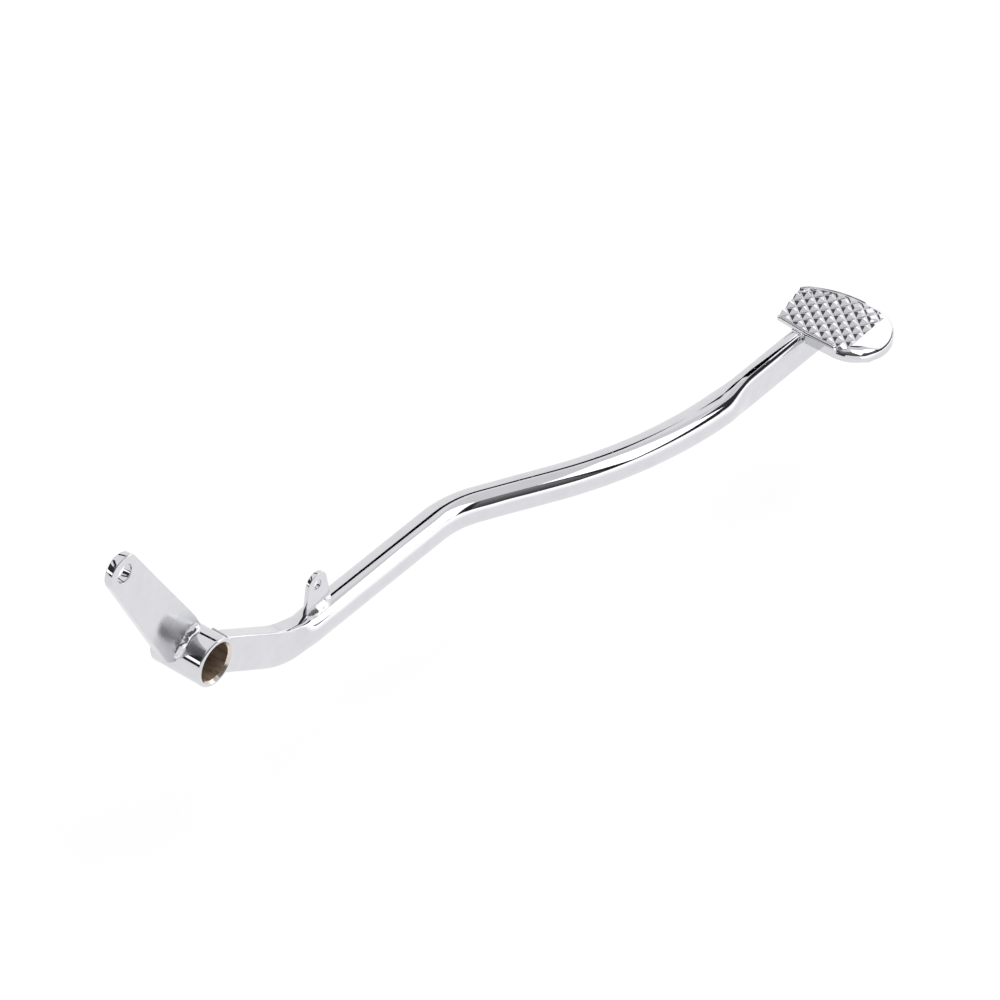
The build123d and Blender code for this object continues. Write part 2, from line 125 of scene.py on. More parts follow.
class ArmSizes(PropertyGroup):
    tube: size("Tube", "Outside diameter of the tube", 15.0)
    wall: size("Wall", "Wall of the tube", 2.0)
    pivot_thickness: size("Thickness at the pivot", "Width of the pressed rear end", 8.5)
    pivot_corner: size("Corner at the pivot", "Corner radius of the pressed rear end", 1.6)
    pad_thickness: size("Thickness at the pad", "Width of the pressed front end", 8.5)
    pad_corner: size("Corner at the pad", "Corner radius of the pressed front end", 3.0)
    outward: size("Outward", "Distance of the tube from the sleeve's middle", 6.75)
    rise: size("Rise", "Distance of the tube's axis above the pivot", 1.8)
    drop: turn("Drop", "Angle at which the arm leaves the pivot downwards", 31.6)
    drop_run: size("Drop run", "Length from the pivot to the first corner", 57.4)
    level_run: size("Level run", "Length from the first to the second corner", 107.8)
    sweep: turn("Sweep", "Angle at which the arm sweeps outward", 27.7)
    sweep_run: size("Sweep run", "Length from the second to the third corner", 98.9)
    end_run: size("End run", "Length from the third corner to the open end", 107.0)
    bend_1: size("Bend 1", "Radius of the upright bend", 53.0)
    bend_2: size("Bend 2", "Radius of the outward bend", 49.0)
    bend_3: size("Bend 3", "Radius of the bend that turns forward again", 212.0)
    pivot_fade: size("Rear fade", "Length over which the rear pressing dies out", 15.0)
    pad_fade: size("Front fade", "Length over which the front pressing begins", 17.0)
    unevenness: size("Unevenness", "Height of the polished tube's slow waves", 0.012)
    pad_rounding: size("Rounding at the pad", "Rounding that the pressed front corners show", 4.0)
    dents: size("Dents", "Depth of the shallow dents past the outward bend", 0.25)
    dented: size("Dented length", "Length of tube past the outward bend that is dented", 60.0)
    end_edge: size("End edge", "Rounding of the open end's rim", 0.3)


class TabSizes(PropertyGroup):
    thickness: size("Thickness", "Thickness of the ear", 2.0)
    base: size("Base", "Length of the ear's foot along the arm", 16.0)
    rear: size("Rear", "Distance of the foot's rear end from the pivot", 62.83)
    hole: size("Hole", "Diameter of the hole", 4.5)
    hole_set: size("Hole set", "Distance of the hole from the foot's rear end", 7.2)
    hole_rise: size("Hole rise", "Height of the hole above the tube", 12.2)
    top: size("Top radius", "Radius of the rounded top", 5.8)
    edge: size("Edge radius", "Rounding of the ear's edges", 0.3)


class PadSizes(PropertyGroup):
    width: size("Width", "Width of the pad from rear to front", 32.6)
    length: size("Length", "Length of the pad outward", 46.1)
    inboard: size("Inboard", "Distance of the inner end from the arm", 11.3)
    taper: size("Taper", "Forward slant of the rear edge beside the arm", 1.25)
    shear: turn("Shear", "Slant of the cut inner end", 11)
    inner_width: size("Inner width", "Length of the cut inner end", 22.1)
    nose: size("Nose", "Size of the clipped front inner corner", 3.0)
    flare: size("Flare", "Length of the curved front edge", 24.0)
    sheet: size("Sheet", "Thickness of the top", 2.0)
    wall: size("Wall", "Thickness of the skirt", 2.2)
    depth: size("Depth", "Height of the skirt", 5.6)
    skirt_gap: size("Skirt gap", "Gap between the skirt's end and the arm", 0.3)
    roll: size("Roll", "Length of the outer end that rolls down", 10.8)
    roll_drop: size("Roll drop", "Fall of the rolled outer end", 2.2)
    edge: size("Edge radius", "Rounding of the rim beside the tread", 1.2)
    cut_edge: size("Cut edge radius", "Rounding of the cut inner end", 0.15)
    end_edge: size("End edge radius", "Rounding of the rim round the outer end, at the rear", 4.6)
    tip_edge: size("Tip edge radius", "Rounding of the rim at the outer end's tip and front", 0.8)
    pitch: size("Pitch", "Spacing of the tread's grooves", 4.45)
    groove: size("Groove depth", "Depth of the tread's grooves", 1.2)
    land: size("Land", "Width of the pyramids' blunt tops", 0.4)
    margin: size("Margin", "Plain border round the tread", 1.4)
    tread: turn("Tread angle", "Angle of the long grooves to the cut inner end", 47.7)
    long_phase: fraction("Long phase", "Place of the long grooves, as a share of the pitch", 0.63)
    cross_phase: fraction("Cross phase", "Place of the cross grooves, as a share of the pitch", 0.46)
    worn: fraction("Worn", "Share of the grooves' depth that is lost at the front outer corner", 0.6)
    worn_width: size("Worn width", "Width of the worn strip along the front edge", 6.5)


class WeldSizes(PropertyGroup):
    lever: size("Lever bead", "Radius of the beads between lever and sleeve", 2.6)
    lever_margin: size("Lever margin", "Distance of those beads' ends from the plate's corners", 2.2)
    arm: size("Arm bead", "Radius of the bead round the arm's rear end", 0.9)
    tab: size("Tab bead", "Radius of the bead at the switch tab's foot", 4.2)
    pad: size("Pad bead", "Radius of the beads under the pad", 1.9)
    pad_rear: size("Pad rear bead", "Radius of the bead at the pad's rear edge", 0.9)
    set_in: size("Set in", "Distance of a straight bead's ends from its solid's ends", 0.4)
    lumps: size("Lumps", "Spacing of the lumps of a bead", 4.6)
    fine: fraction("Fine lumps", "Height of the finer lumps, as a share of the coarse ones", 0.3)


class FinishColours(PropertyGroup):
    chrome: colour("Chrome", "Mirror colour of the plating", "DEDEE2")
    chrome_shade: colour("Chrome shade", "Mirror colour where the plating is thin", "CECED2")
    heat_stain: colour("Heat stain", "Brown bloom at the toes of the welds", "8A6A48")
    bare_steel: colour("Bare steel", "Oxidised steel in the pivot bore", "948270")
    bare_steel_dark: colour("Dark steel", "Scale in the pivot bore", "564639")
    turned_steel: colour("Turned steel", "Warm cut steel of the bore's chamfer", "E6D3BC")
    surround: colour("Surround", "Floor and surround of the studio", "FFFFFF")


class StageSizes(PropertyGroup):
    distance: size("Distance", "Camera distance from the pivot", 3500.0)
    azimuth: turn("Azimuth", "Heading of the camera's view, from inboard", -50)
    elevation: turn("Elevation", "Camera height above the horizon", 42)
    lens: number("Lens", "Focal length in millimetres on a 36 mm sensor", 315.6)
    aim_right: number("Aim right", "Aim to the right of the pivot, as a slope", 0.03518)
    aim_up: number("Aim up", "Aim above the pivot, as a slope", 0.01702)
    floor_drop: size("Floor", "Distance of the floor below the pivot", 120.0)
    key_size: size("Lamp size", "Side of the square soft lamp", 1600.0)
    key_power: number("Lamp power", "Power of the soft lamp", 38.0, unit="POWER")
    key_place: FloatVectorProperty(name="Lamp place", description="Place of the soft lamp",
                                   default=(0.47, -0.63, 2.18), unit="LENGTH", subtype="TRANSLATION")


GROUPS = {
    "pedal_sleeve": SleeveSizes,
    "pedal_lever": LeverSizes,
    "pedal_arm": ArmSizes,
    "pedal_tab": TabSizes,
    "pedal_pad": PadSizes,
    "pedal_weld": WeldSizes,
    "pedal_finish": FinishColours,
    "pedal_stage": StageSizes,
}


# Materials

# Sockets of a map range: the two ends that it maps from, and the two that it maps to
RANGE_ENDS = ("From Min", "From Max", "To Min", "To Max")


def node(tree, kind, links=(), inputs=(), **settings):
    """Adds a shader node with its settings, and links its sockets or sets plain values on them."""
    made = tree.nodes.new("ShaderNode" + kind)
    for name, value in settings.items():
        setattr(made, name, value)
    for socket, value in dict(inputs).items():
        made.inputs[socket].default_value = value
    for socket, source in dict(links).items():
        connect(tree, source, made.inputs[socket])
    return made


def connect(tree, source, socket):
    """Links a socket, or the first live output of a node, to a socket."""
    if isinstance(source, bpy.types.Node):
        source = next(output for output in source.outputs if output.enabled)
    tree.links.new(source, socket)


def rgba(value):
    """Colour with full alpha."""
    return (*value, 1.0)


def per_mm(millimetres):
    """Texture scale, in object space, of a pattern whose features are so many millimetres apart."""
    return 1.0 / (millimetres * MM)


def metal(name, colours, gloss, relief, patches, grain=None, stain=None, metallic=1.0, stretch=None):
    """Material whose tint and gloss follow a noise of patches, and its relief a grain or that noise.

    Noises are given by spacing in mm, detail and roughness, stain and gloss as map ranges, and relief as
    strength and height in mm. Returns the material, the shader and the object coordinates.
    """
    material = bpy.data.materials.new(name)
    material.use_nodes = True
    tree = material.node_tree
    place = node(tree, "TexCoord").outputs["Object"]
    if stretch:
        place = node(tree, "Mapping", {"Vector": place}, {"Scale": stretch})
    fields = [node(tree, "TexNoise", {"Vector": place},
                   {"Scale": per_mm(spacing), "Detail": detail, "Roughness": roughness})
              for spacing, detail, roughness in ([patches, grain] if grain else [patches])]
    mask = fields[0]
    if stain:
        mask = node(tree, "MapRange", {"Value": mask}, zip(RANGE_ENDS, stain))
    shader = tree.nodes["Principled BSDF"]
    shader.inputs["Metallic"].default_value = metallic
    tint = node(tree, "Mix", {"Factor": mask}, {"A": rgba(colours[0]), "B": rgba(colours[1])},
                data_type="RGBA")
    connect(tree, tint, shader.inputs["Base Color"])
    rough = node(tree, "MapRange", {"Value": fields[0]}, zip(RANGE_ENDS, gloss))
    connect(tree, rough, shader.inputs["Roughness"])
    bump = node(tree, "Bump", {"Height": fields[-1]}, {"Strength": relief[0], "Distance": relief[1] * MM})
    connect(tree, bump, shader.inputs["Normal"])
    return material, shader, place


# Spacing of the plating's pits, their size as a share of it, and how dull they are at most
PIT_SPACING = 4.5
PIT_SIZE = (0.03, 0.055)
PIT_DULLNESS = 0.45

# Distances from the pivot between which the heat's dullness fades, and the dullness at the weld
HEAT_REACH = (20 * MM, 46 * MM)
HEAT_DULLNESS = 0.36


def chrome_plate(finish, name="chrome_plate_on_polished_steel", heated=False):
    """Decorative chrome over polished steel: a cool mirror, with faint orange peel and polishing haze."""
    material, shader, place = metal(
        name, (finish.chrome, finish.chrome_shade), gloss=(0.35, 0.75, 0.035, 0.085), relief=(0.05, 0.2),
        patches=(9.0, 5.0, 0.65), grain=(5.0, 2.0, 0.5))
    tree = material.node_tree
    rough = shader.inputs["Roughness"]
    pits = node(tree, "TexVoronoi", {"Vector": place}, {"Scale": per_mm(PIT_SPACING), "Randomness": 1.0})
    mask = node(tree, "MapRange", {"Value": pits}, zip(RANGE_ENDS, (*PIT_SIZE, 1.0, 0.0)))
    worn = node(tree, "Math", {0: rough.links[0].from_socket, 1: mask}, operation="MAXIMUM")
    dull = node(tree, "Math", {0: worn}, {1: PIT_DULLNESS}, operation="MINIMUM")
    if heated:
        across = node(tree, "VectorMath", {0: place}, {1: (1.0, 0.0, 1.0)}, operation="MULTIPLY")
        away = node(tree, "VectorMath", {0: across}, operation="LENGTH")
        heat = node(tree, "MapRange", {"Value": away}, zip(RANGE_ENDS, (*HEAT_REACH, HEAT_DULLNESS, 0.0)))
        dull = node(tree, "Math", {0: dull, 1: heat}, operation="MAXIMUM")
    connect(tree, dull, rough)
    return material


def heated_plate(finish):
    """Chrome of the lever: the same mirror, dulled by heat round the weld, so that it blurs the sleeve."""
    return chrome_plate(finish, "chrome_plate_beside_weld", heated=True)


def chrome_weld(finish):
    """Chrome over an unground bead: bright crests, duller hollows and brown bloom where heat has been."""
    return metal("chrome_plate_on_weld_bead", (finish.chrome, finish.heat_stain),
                 gloss=(0.3, 0.75, 0.06, 0.35), relief=(0.12, 0.15), patches=(1.9, 4.0, 0.7),
                 grain=(0.7, 3.0, 0.6), stain=(0.62, 0.74, 0.0, 0.8))[0]


def oxidised_bore(finish):
    """Drawn steel that the plating didn't reach: brown oxide with darker scale, dull and rough."""
    return metal("bare_drawn_steel_oxidised", (finish.bare_steel, finish.bare_steel_dark),
                 gloss=(0.3, 0.7, 0.38, 0.7), relief=(0.5, 0.2), patches=(2.2, 6.0, 0.7),
                 stain=(0.38, 0.66, 0.0, 1.0), metallic=0.35, stretch=(1.0, 0.3, 1.0))[0]


def turned_chamfer(finish):
    """Cut steel at the bore's mouth, thinly plated: warm and patchy, and duller than the chrome."""
    return metal("turned_steel_chamfer", (finish.turned_steel, finish.chrome_shade),
                 gloss=(0.3, 0.7, 0.16, 0.32), relief=(0.3, 0.1), patches=(3.0, 4.0, 0.6))[0]


MATERIALS = {
    "plate": chrome_plate,
    "heated": heated_plate,
    "weld": chrome_weld,
    "bore": oxidised_bore,
    "chamfer": turned_chamfer,
}
MADE = {}


def finish_of(context, kind):
    """The material of a kind, made on first use."""
    if kind not in MADE:
        MADE[kind] = MATERIALS[kind](context.scene.pedal_finish)
    return MADE[kind]


# Mesh helpers

# Points of a mesh that lie closer than this are one point
SAME_POINT = 1e-7

# Steps round a plate's rounded edge, round its hole, and the least share that a mitre is divided by
EDGE_STEPS = 5
HOLE_STEPS = 64
MITRE_LIMIT = 0.3


def skin(rings, closed_along=False):
    """Quads between neighbouring rings of equally many points, numbered ring after ring."""
    count = len(rings[0])
    faces = []
    last = len(rings) if closed_along else len(rings) - 1
    for i in range(last):
        here = i * count
        there = (i + 1) % len(rings) * count
        for j in range(count):
            k = (j + 1) % count
            faces.append((here + j, here + k, there + k, there + j))
    return faces


def joined(rings):
    """Points of all rings in one list."""
    return [point for ring in rings for point in ring]


def circle_angles(steps):
    """Angles evenly spaced round a full circle."""
    return [2 * math.pi * i / steps for i in range(steps)]


def add_piece(context, name, points, faces, kinds, replaced, face_kinds=None, sharp=40):
    """Makes a mesh piece that stands for CAD nodes and rides on the pedal."""
    mesh = bpy.data.meshes.new(name)
    mesh.from_pydata([tuple(p) for p in points], [], faces)
    for kind in kinds:
        mesh.materials.append(finish_of(context, kind))
    if face_kinds is not None:
        mesh.polygons.foreach_set("material_index", face_kinds)
    work = bmesh.new()
    work.from_mesh(mesh)
    bmesh.ops.remove_doubles(work, verts=work.verts, dist=SAME_POINT)
    bmesh.ops.dissolve_degenerate(work, edges=work.edges, dist=SAME_POINT)
    bmesh.ops.recalc_face_normals(work, faces=work.faces)
    work.to_mesh(mesh)
    work.free()
    mesh.polygons.foreach_set("use_smooth", [True] * len(mesh.polygons))
    mesh.set_sharp_from_angle(angle=math.radians(sharp))
    piece = bpy.data.objects.new(name, mesh)
    context.scene.collection.objects.link(piece)
    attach(piece, BODY)
    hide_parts(*replaced)
    return piece


def uneven(point, wave):
    """Slow noise between about -1 and 1 whose waves are so long."""
    return noise.noise(Vector(point) / wave + NOISE_SEED)


def arc(centre, radius, start, end, steps):
    """Points on a circle from one angle to another, both included."""
    angles = [start + (end - start) * i / steps for i in range(steps + 1)]
    return [(centre[0] + radius * math.cos(a), centre[1] + radius * math.sin(a)) for a in angles]


def polar(radius, angle):
    """Point of a side view, from its distance and angle about the pivot."""
    return (radius * math.cos(angle), radius * math.sin(angle))


def tangent_angle(centre, radius, point, side):
    """Angle about centre at which a line from point touches the circle; side is 1 or -1."""
    across = point[0] - centre[0]
    along = point[1] - centre[1]
    return math.atan2(along, across) + side * math.acos(radius / math.hypot(across, along))


def round_end(centre, radius, front, rear, steps):
    """Outline from a front to a rear corner, round a circle that both straight flanks touch."""
    start = tangent_angle(centre, radius, front, 1)
    end = tangent_angle(centre, radius, rear, -1) % (2 * math.pi)
    return [front] + arc(centre, radius, start, end, steps) + [rear]


def smoothstep(low, high, value):
    """0 below low, 1 above high and smooth between."""
    share = np.clip((value - low) / (high - low), 0.0, 1.0)
    return share * share * (3 - 2 * share)


def moved_in(points, inset):
    """Closed outline, listed anticlockwise, moved in by inset with mitred corners."""
    moved = []
    count = len(points)
    for i in range(count):
        before = Vector(points[i - 1])
        here = Vector(points[i])
        after = Vector(points[(i + 1) % count])
        first = (here - before).normalized()
        second = (after - here).normalized()
        inward = Vector((-first.y, first.x)) + Vector((-second.y, second.x))
        share = max(inward.length_squared / 4, MITRE_LIMIT)
        moved.append(tuple(here + inward / 2 * inset / share))
    return moved


def plate_profile(thickness, edge):
    """Section of a plate's rounded rim: pairs of inset and depth, from one face to the other."""
    quarter = [i * math.pi / 2 / EDGE_STEPS for i in range(EDGE_STEPS + 1)]
    front = [(edge - edge * math.sin(a), edge - edge * math.cos(a)) for a in quarter]
    return front + [(inset, thickness - depth) for inset, depth in reversed(front)]


def plate(outline, hole_centre, hole_radius, face, thickness, edge, hole_edge):
    """Points and faces of a drilled plate with rounded edges, its face so far outward."""
    rings = []
    for inset, depth in plate_profile(thickness, edge):
        rings.append([(x, depth - face, z) for x, z in moved_in(outline, inset)])
    hole_rings = []
    for inset, depth in plate_profile(thickness, hole_edge):
        radius = hole_radius + inset
        hole_rings.append([(hole_centre[0] + radius * math.cos(a), depth - face,
                            hole_centre[1] + radius * math.sin(a)) for a in circle_angles(HOLE_STEPS)])
    points = joined(rings)
    start = len(points)
    faces = skin(rings) + [tuple(i + start for i in quad) for quad in skin(hole_rings)]
    points += joined(hole_rings)
    work = bmesh.new()
    verts = [work.verts.new(p) for p in points]
    for quad in faces:
        work.faces.new([verts[i] for i in quad])
    for ring_first, hole_first in ((0, start), (start - len(outline), len(points) - HOLE_STEPS)):
        loop = verts[ring_first:ring_first + len(outline)]
        ring = verts[hole_first:hole_first + HOLE_STEPS]
        rims = []
        for chain in (loop, ring):
            for a, b in zip(chain, chain[1:] + chain[:1]):
                rims.append(work.edges.get((a, b)))
        bmesh.ops.triangle_fill(work, use_beauty=True, edges=rims)
    work.verts.index_update()
    points = [tuple(v.co) for v in work.verts]
    faces = [tuple(v.index for v in f.verts) for f in work.faces]
    work.free()
    return points, faces


# Pivot sleeve

# Surfaces of the sleeve, in the order of its materials
SLEEVE_FINISHES = ["plate", "bore", "chamfer"]
PLATED, BARE, TURNED = range(3)

# Steps round the sleeve, along its bore and round each rim, and the ragged line's wave in ragged heights
SLEEVE_STEPS = 160
BORE_STEPS = 12
RIM_STEPS = 8
RAGGED_WAVE = 3


def sleeve_rings(sleeve):
    """Rings round the sleeve's whole section, and the kind of surface that follows each ring."""
    half = sleeve.length / 2
    bore = sleeve.bore / 2
    deep = half - sleeve.chamfer
    corner = (half - sleeve.rim, sleeve.outside / 2 - sleeve.rim)
    rim = arc(corner, sleeve.rim, math.pi / 2, 0, RIM_STEPS)
    section = [(y, r, PLATED) for y, r in rim]
    section.append((half, bore + sleeve.chamfer, TURNED))
    mouths = (len(section), len(section) + BORE_STEPS)
    section += [(deep - 2 * deep * i / BORE_STEPS, bore, BARE) for i in range(BORE_STEPS)]
    section.append((-deep, bore, TURNED))
    section.append((-half, bore + sleeve.chamfer, PLATED))
    section += [(-y, r, PLATED) for y, r in reversed(rim)]
    angles = circle_angles(SLEEVE_STEPS)
    rings = [[Vector((r * math.cos(a), y, r * math.sin(a))) for a in angles] for y, r, kind in section]
    for mouth in mouths:
        for spot in rings[mouth]:
            spot.y *= 1 - sleeve.ragged * (1 + uneven(spot, sleeve.ragged * RAGGED_WAVE)) / (2 * deep)
    return rings, [kind for y, r, kind in section]


class PEDAL_OT_pivot_sleeve(Operator):
    """Add the sleeve that turns on the pivot shaft"""
    bl_idname = "pedal.pivot_sleeve"
    bl_label = "Pivot sleeve"

    def execute(self, context):
        rings, kinds = sleeve_rings(context.scene.pedal_sleeve)
        face_kinds = [kind for kind in kinds for _ in rings[0]]
        add_piece(context, "pivot_sleeve_plated", joined(rings), skin(rings, closed_along=True),
                  SLEEVE_FINISHES, ["pivot_sleeve"], face_kinds, sharp=30)
        return {"FINISHED"}


# Brake rod lever

# Steps of the saddle on the sleeve and round the lever's end
SADDLE_STEPS = 24
LEVER_END_STEPS = 40


def lever_outline(lever, sleeve_radius):
    """Anticlockwise outline in side view: saddle on the sleeve, straight flanks and round end."""
    hole = polar(lever.length, lever.angle)
    shoulder = polar(lever.foot, lever.shoulder)
    heel = polar(lever.foot, lever.heel)
    saddle = arc((0, 0), sleeve_radius, lever.rear_seat, lever.front_seat, SADDLE_STEPS)
    return round_end(hole, lever.end, shoulder, heel, LEVER_END_STEPS) + saddle, hole


class PEDAL_OT_brake_rod_lever(Operator):
    """Add the drilled plate that pulls the brake rod"""
    bl_idname = "pedal.brake_rod_lever"
    bl_label = "Brake rod lever"

    def execute(self, context):
        lever = context.scene.pedal_lever
        outline, hole = lever_outline(lever, context.scene.pedal_sleeve.outside / 2)
        points, faces = plate(outline, hole, lever.hole / 2, lever.face, lever.thickness,
                              lever.edge, lever.hole_edge)
        add_piece(context, "brake_rod_lever_plated", points, faces, ["heated"],
                  ["brake_rod_lever"], sharp=25)
        return {"FINISHED"}


# Pedal arm

# Points round the tube, spacing of its rings, and the least corner radius inside its pressed ends
ARM_COUNT = 96
ARM_STEP = 2 * MM
LEAST_CORNER = 0.5 * MM

# How far the saddle reaches into the sleeve, and how far beyond the sleeve the rings begin
SADDLE_DEPTH = 0.4 * MM
SADDLE_CLEAR = 1 * MM


def pressed_point(share, thickness, corner, height):
    """Point of a pressed section at a share of its girth, from the middle of the top outward."""
    flat = thickness / 2 - corner
    bow = math.pi / 2 * corner
    side = height / 2 - corner
    girth = 4 * (flat + bow + side)
    half = girth / 2
    run = share % 1.0 * girth
    flip = run > half
    if flip:
        run = girth - run
    if run < flat:
        x, y = run, side + corner
    elif run < flat + bow:
        a = (run - flat) / corner
        x, y = flat + corner * math.sin(a), side + corner * math.cos(a)
    elif run < flat + bow + 2 * side:
        x, y = flat + corner, side - (run - flat - bow)
    elif run < flat + 2 * bow + 2 * side:
        a = (run - flat - bow - 2 * side) / corner
        x, y = flat + corner * math.cos(a), -side - corner * math.sin(a)
    else:
        x, y = half - run, -side - corner
    return Vector((x if flip else -x, y))


def arm_section(arm, roundness, thickness, corner, rounding, inset, count):
    """Ring of points of the arm's section, from pressed at roundness 0 to round at 1."""
    pressed_girth = math.pi * arm.tube - 2 * math.pi * corner - 4 * (thickness / 2 - corner)
    height = pressed_girth / 2 + 2 * corner
    pressed_corner = max(rounding - inset, LEAST_CORNER)
    ring = []
    for i in range(count):
        share = i / count
        flat = pressed_point(share, thickness - 2 * inset, pressed_corner, height - 2 * inset)
        angle = math.pi / 2 + 2 * math.pi * share
        full = Vector((math.cos(angle), math.sin(angle))) * (arm.tube / 2 - inset)
        ring.append(flat.lerp(full, roundness))
    return ring


def walk(place, length, radius=0.0, turning=None):
    """Places along a straight run or a bend; turning is the local axis and side of the bend."""
    count = max(2, round(length / ARM_STEP))
    places = []
    for i in range(1, count + 1):
        run = length * i / count
        if turning is None:
            places.append((place @ Matrix.Translation((0, 0, run)), run))
            continue
        axis, towards = turning
        hub = Vector(towards) * radius
        spin = Matrix.Rotation(run / radius, 4, Vector(axis))
        places.append((place @ Matrix.Translation(hub) @ spin @ Matrix.Translation(-hub), run))
    return places


def arm_places(arm):
    """Places along the arm (x inboard, y up, z forward) with their distance along it, and its marks."""
    down = Vector((math.cos(arm.drop), 0, -math.sin(arm.drop)))
    up = Vector((math.sin(arm.drop), 0, math.cos(arm.drop)))
    start = Matrix.Translation(Vector((0, -arm.outward, 0)) + up * arm.rise)
    start = start @ Matrix((Vector((0, 1, 0)), up, down)).transposed().to_4x4()
    first = arm.bend_1 * math.tan(arm.drop / 2)
    second = arm.bend_2 * math.tan(arm.sweep / 2)
    third = arm.bend_3 * math.tan(arm.sweep / 2)
    inboard = (1, 0, 0)
    outward = (-1, 0, 0)
    upward = (0, 1, 0)
    downward = (0, -1, 0)
    runs = [
        (arm.drop_run - first, 0.0, None),
        (arm.bend_1 * arm.drop, arm.bend_1, (outward, upward)),
        (arm.level_run - first - second, 0.0, None),
        (arm.bend_2 * arm.sweep, arm.bend_2, (downward, outward)),
        (arm.sweep_run - second - third, 0.0, None),
        (arm.bend_3 * arm.sweep, arm.bend_3, (upward, inboard)),
        (arm.end_run - third, 0.0, None),
    ]
    places = [(start, 0.0)]
    ends = []
    for length, radius, turning in runs:
        here, travelled = places[-1]
        places += [(place, travelled + run) for place, run in walk(here, length, radius, turning)]
        ends.append(places[-1][1])
    return places, SimpleNamespace(level=ends[1], bend=ends[2], seat=ends[5])


# Spacing of the dents, as a share of the tube's diameter
DENT_SPACING = 0.7


def dent_window(arm, past):
    """1 in the middle of the dented length, and 0 at its ends and beyond them."""
    return math.sin(math.pi * min(max(past / arm.dented, 0.0), 1.0)) ** 2


def arm_ring(arm, place, distance, marks, inset):
    """Ring of the arm's surface at a place, moved in by inset."""
    rear = float(smoothstep(marks.level - arm.pivot_fade, marks.level, distance))
    front = float(smoothstep(marks.seat - arm.pad_fade, marks.seat, distance))
    at_pad = distance > (marks.level + marks.seat) / 2
    thickness = arm.pad_thickness if at_pad else arm.pivot_thickness
    corner = arm.pad_corner if at_pad else arm.pivot_corner
    rounding = arm.pad_rounding if at_pad else arm.pivot_corner
    roundness = 1 - front if at_pad else rear
    dents = arm.dents * dent_window(arm, distance - marks.bend)
    ring = []
    for point in arm_section(arm, roundness, thickness, corner, rounding, inset, ARM_COUNT):
        spot = place @ Vector((point.x, point.y, 0))
        swell = 1.0
        if inset == 0:
            outward = max(-2 * point.x / arm.tube, 0.0)
            swell -= arm.unevenness * (1 + uneven(spot, arm.tube)) / arm.tube
            swell -= dents * outward * (1 + uneven(spot, arm.tube * DENT_SPACING)) / arm.tube
        ring.append(place @ Vector((point.x * swell, point.y * swell, 0)))
    return ring


def pivot_section(arm, inset, count):
    """Ring of points of the arm's pressed rear end."""
    corner = arm.pivot_corner
    return arm_section(arm, 0.0, arm.pivot_thickness, corner, corner, inset, count)


def saddle_ring(arm, place, inset, radius):
    """Ring where the arm's end meets the sleeve."""
    ring = []
    for point in pivot_section(arm, inset, ARM_COUNT):
        height = point.y + arm.rise
        reach = math.sqrt(max(radius * radius - height * height, 0.0))
        ring.append(place @ Vector((point.x, point.y, reach)))
    return ring


def arm_end(arm):
    """Middle of the arm's open end."""
    return arm_places(arm)[0][-1][0].translation


class PEDAL_OT_arm(Operator):
    """Add the bent tube, pressed flat at the pivot and at the pad"""
    bl_idname = "pedal.arm"
    bl_label = "Pedal arm"

    def execute(self, context):
        arm = context.scene.pedal_arm
        sleeve_radius = context.scene.pedal_sleeve.outside / 2
        buried = sleeve_radius - SADDLE_DEPTH
        places, marks = arm_places(arm)
        root = places[0][0]
        beyond = [(place, run) for place, run in places if run > sleeve_radius + SADDLE_CLEAR]
        end, end_run = beyond[-1]
        back = end @ Matrix.Translation((0, 0, -arm.end_edge))
        rings = [saddle_ring(arm, root, 0.0, buried)]
        rings += [arm_ring(arm, place, run, marks, 0.0) for place, run in beyond[:-1]]
        rings.append(arm_ring(arm, back, end_run, marks, 0.0))
        rings.append(arm_ring(arm, end, end_run, marks, arm.end_edge))
        rings.append(arm_ring(arm, end, end_run, marks, arm.wall))
        rings += [arm_ring(arm, place, run, marks, arm.wall) for place, run in beyond[-2::-2]]
        rings.append(saddle_ring(arm, root, arm.wall, buried))
        add_piece(context, "pedal_arm_plated", joined(rings), skin(rings, closed_along=True), ["plate"],
                  ["pedal_arm"], sharp=50)
        return {"FINISHED"}


# Switch tab

# Steps round the tab's top, and the rounding of its hole as a share of its edges' rounding
TAB_TOP_STEPS = 32
TAB_HOLE_EDGE = 0.7


class PEDAL_OT_switch_tab(Operator):
    """Add the small drilled ear that stands on the arm"""
    bl_idname = "pedal.switch_tab"
    bl_label = "Switch tab"

    def execute(self, context):
        tab = context.scene.pedal_tab
        arm = context.scene.pedal_arm
        axis = arm_end(arm).z
        foot = axis + arm.tube / 2
        root = axis + arm.tube / 4
        hole = (tab.rear + tab.hole_set, foot + tab.hole_rise)
        front = (tab.rear + tab.base, foot)
        rear = (tab.rear, foot)
        outline = [(tab.rear, root), (tab.rear + tab.base, root)]
        outline += round_end(hole, tab.top, front, rear, TAB_TOP_STEPS)
        points, faces = plate(outline, hole, tab.hole / 2, arm.outward + tab.thickness / 2,
                              tab.thickness, tab.edge, tab.edge * TAB_HOLE_EDGE)
        add_piece(context, "switch_tab_plated", points, faces, ["plate"],
                  ["switch_tab"], sharp=25)
        return {"FINISHED"}


# Foot pad

# Columns and rows of the top's grid, and how many of its steps make one of the underside's
PAD_COLUMNS, PAD_ROWS = 217, 301
UNDERSIDE_STEP = 4

# Length over which a groove of the tread runs out, and over which the rim's rounding changes
TREAD_RUN_OUT = 0.4 * MM
RIM_CHANGE = 2.0 * MM

# Where the end's large edge radius gives way to the tip's, as shares of the pad's width from the rear
TIP_EDGE_RUN = (0.22, 0.45)


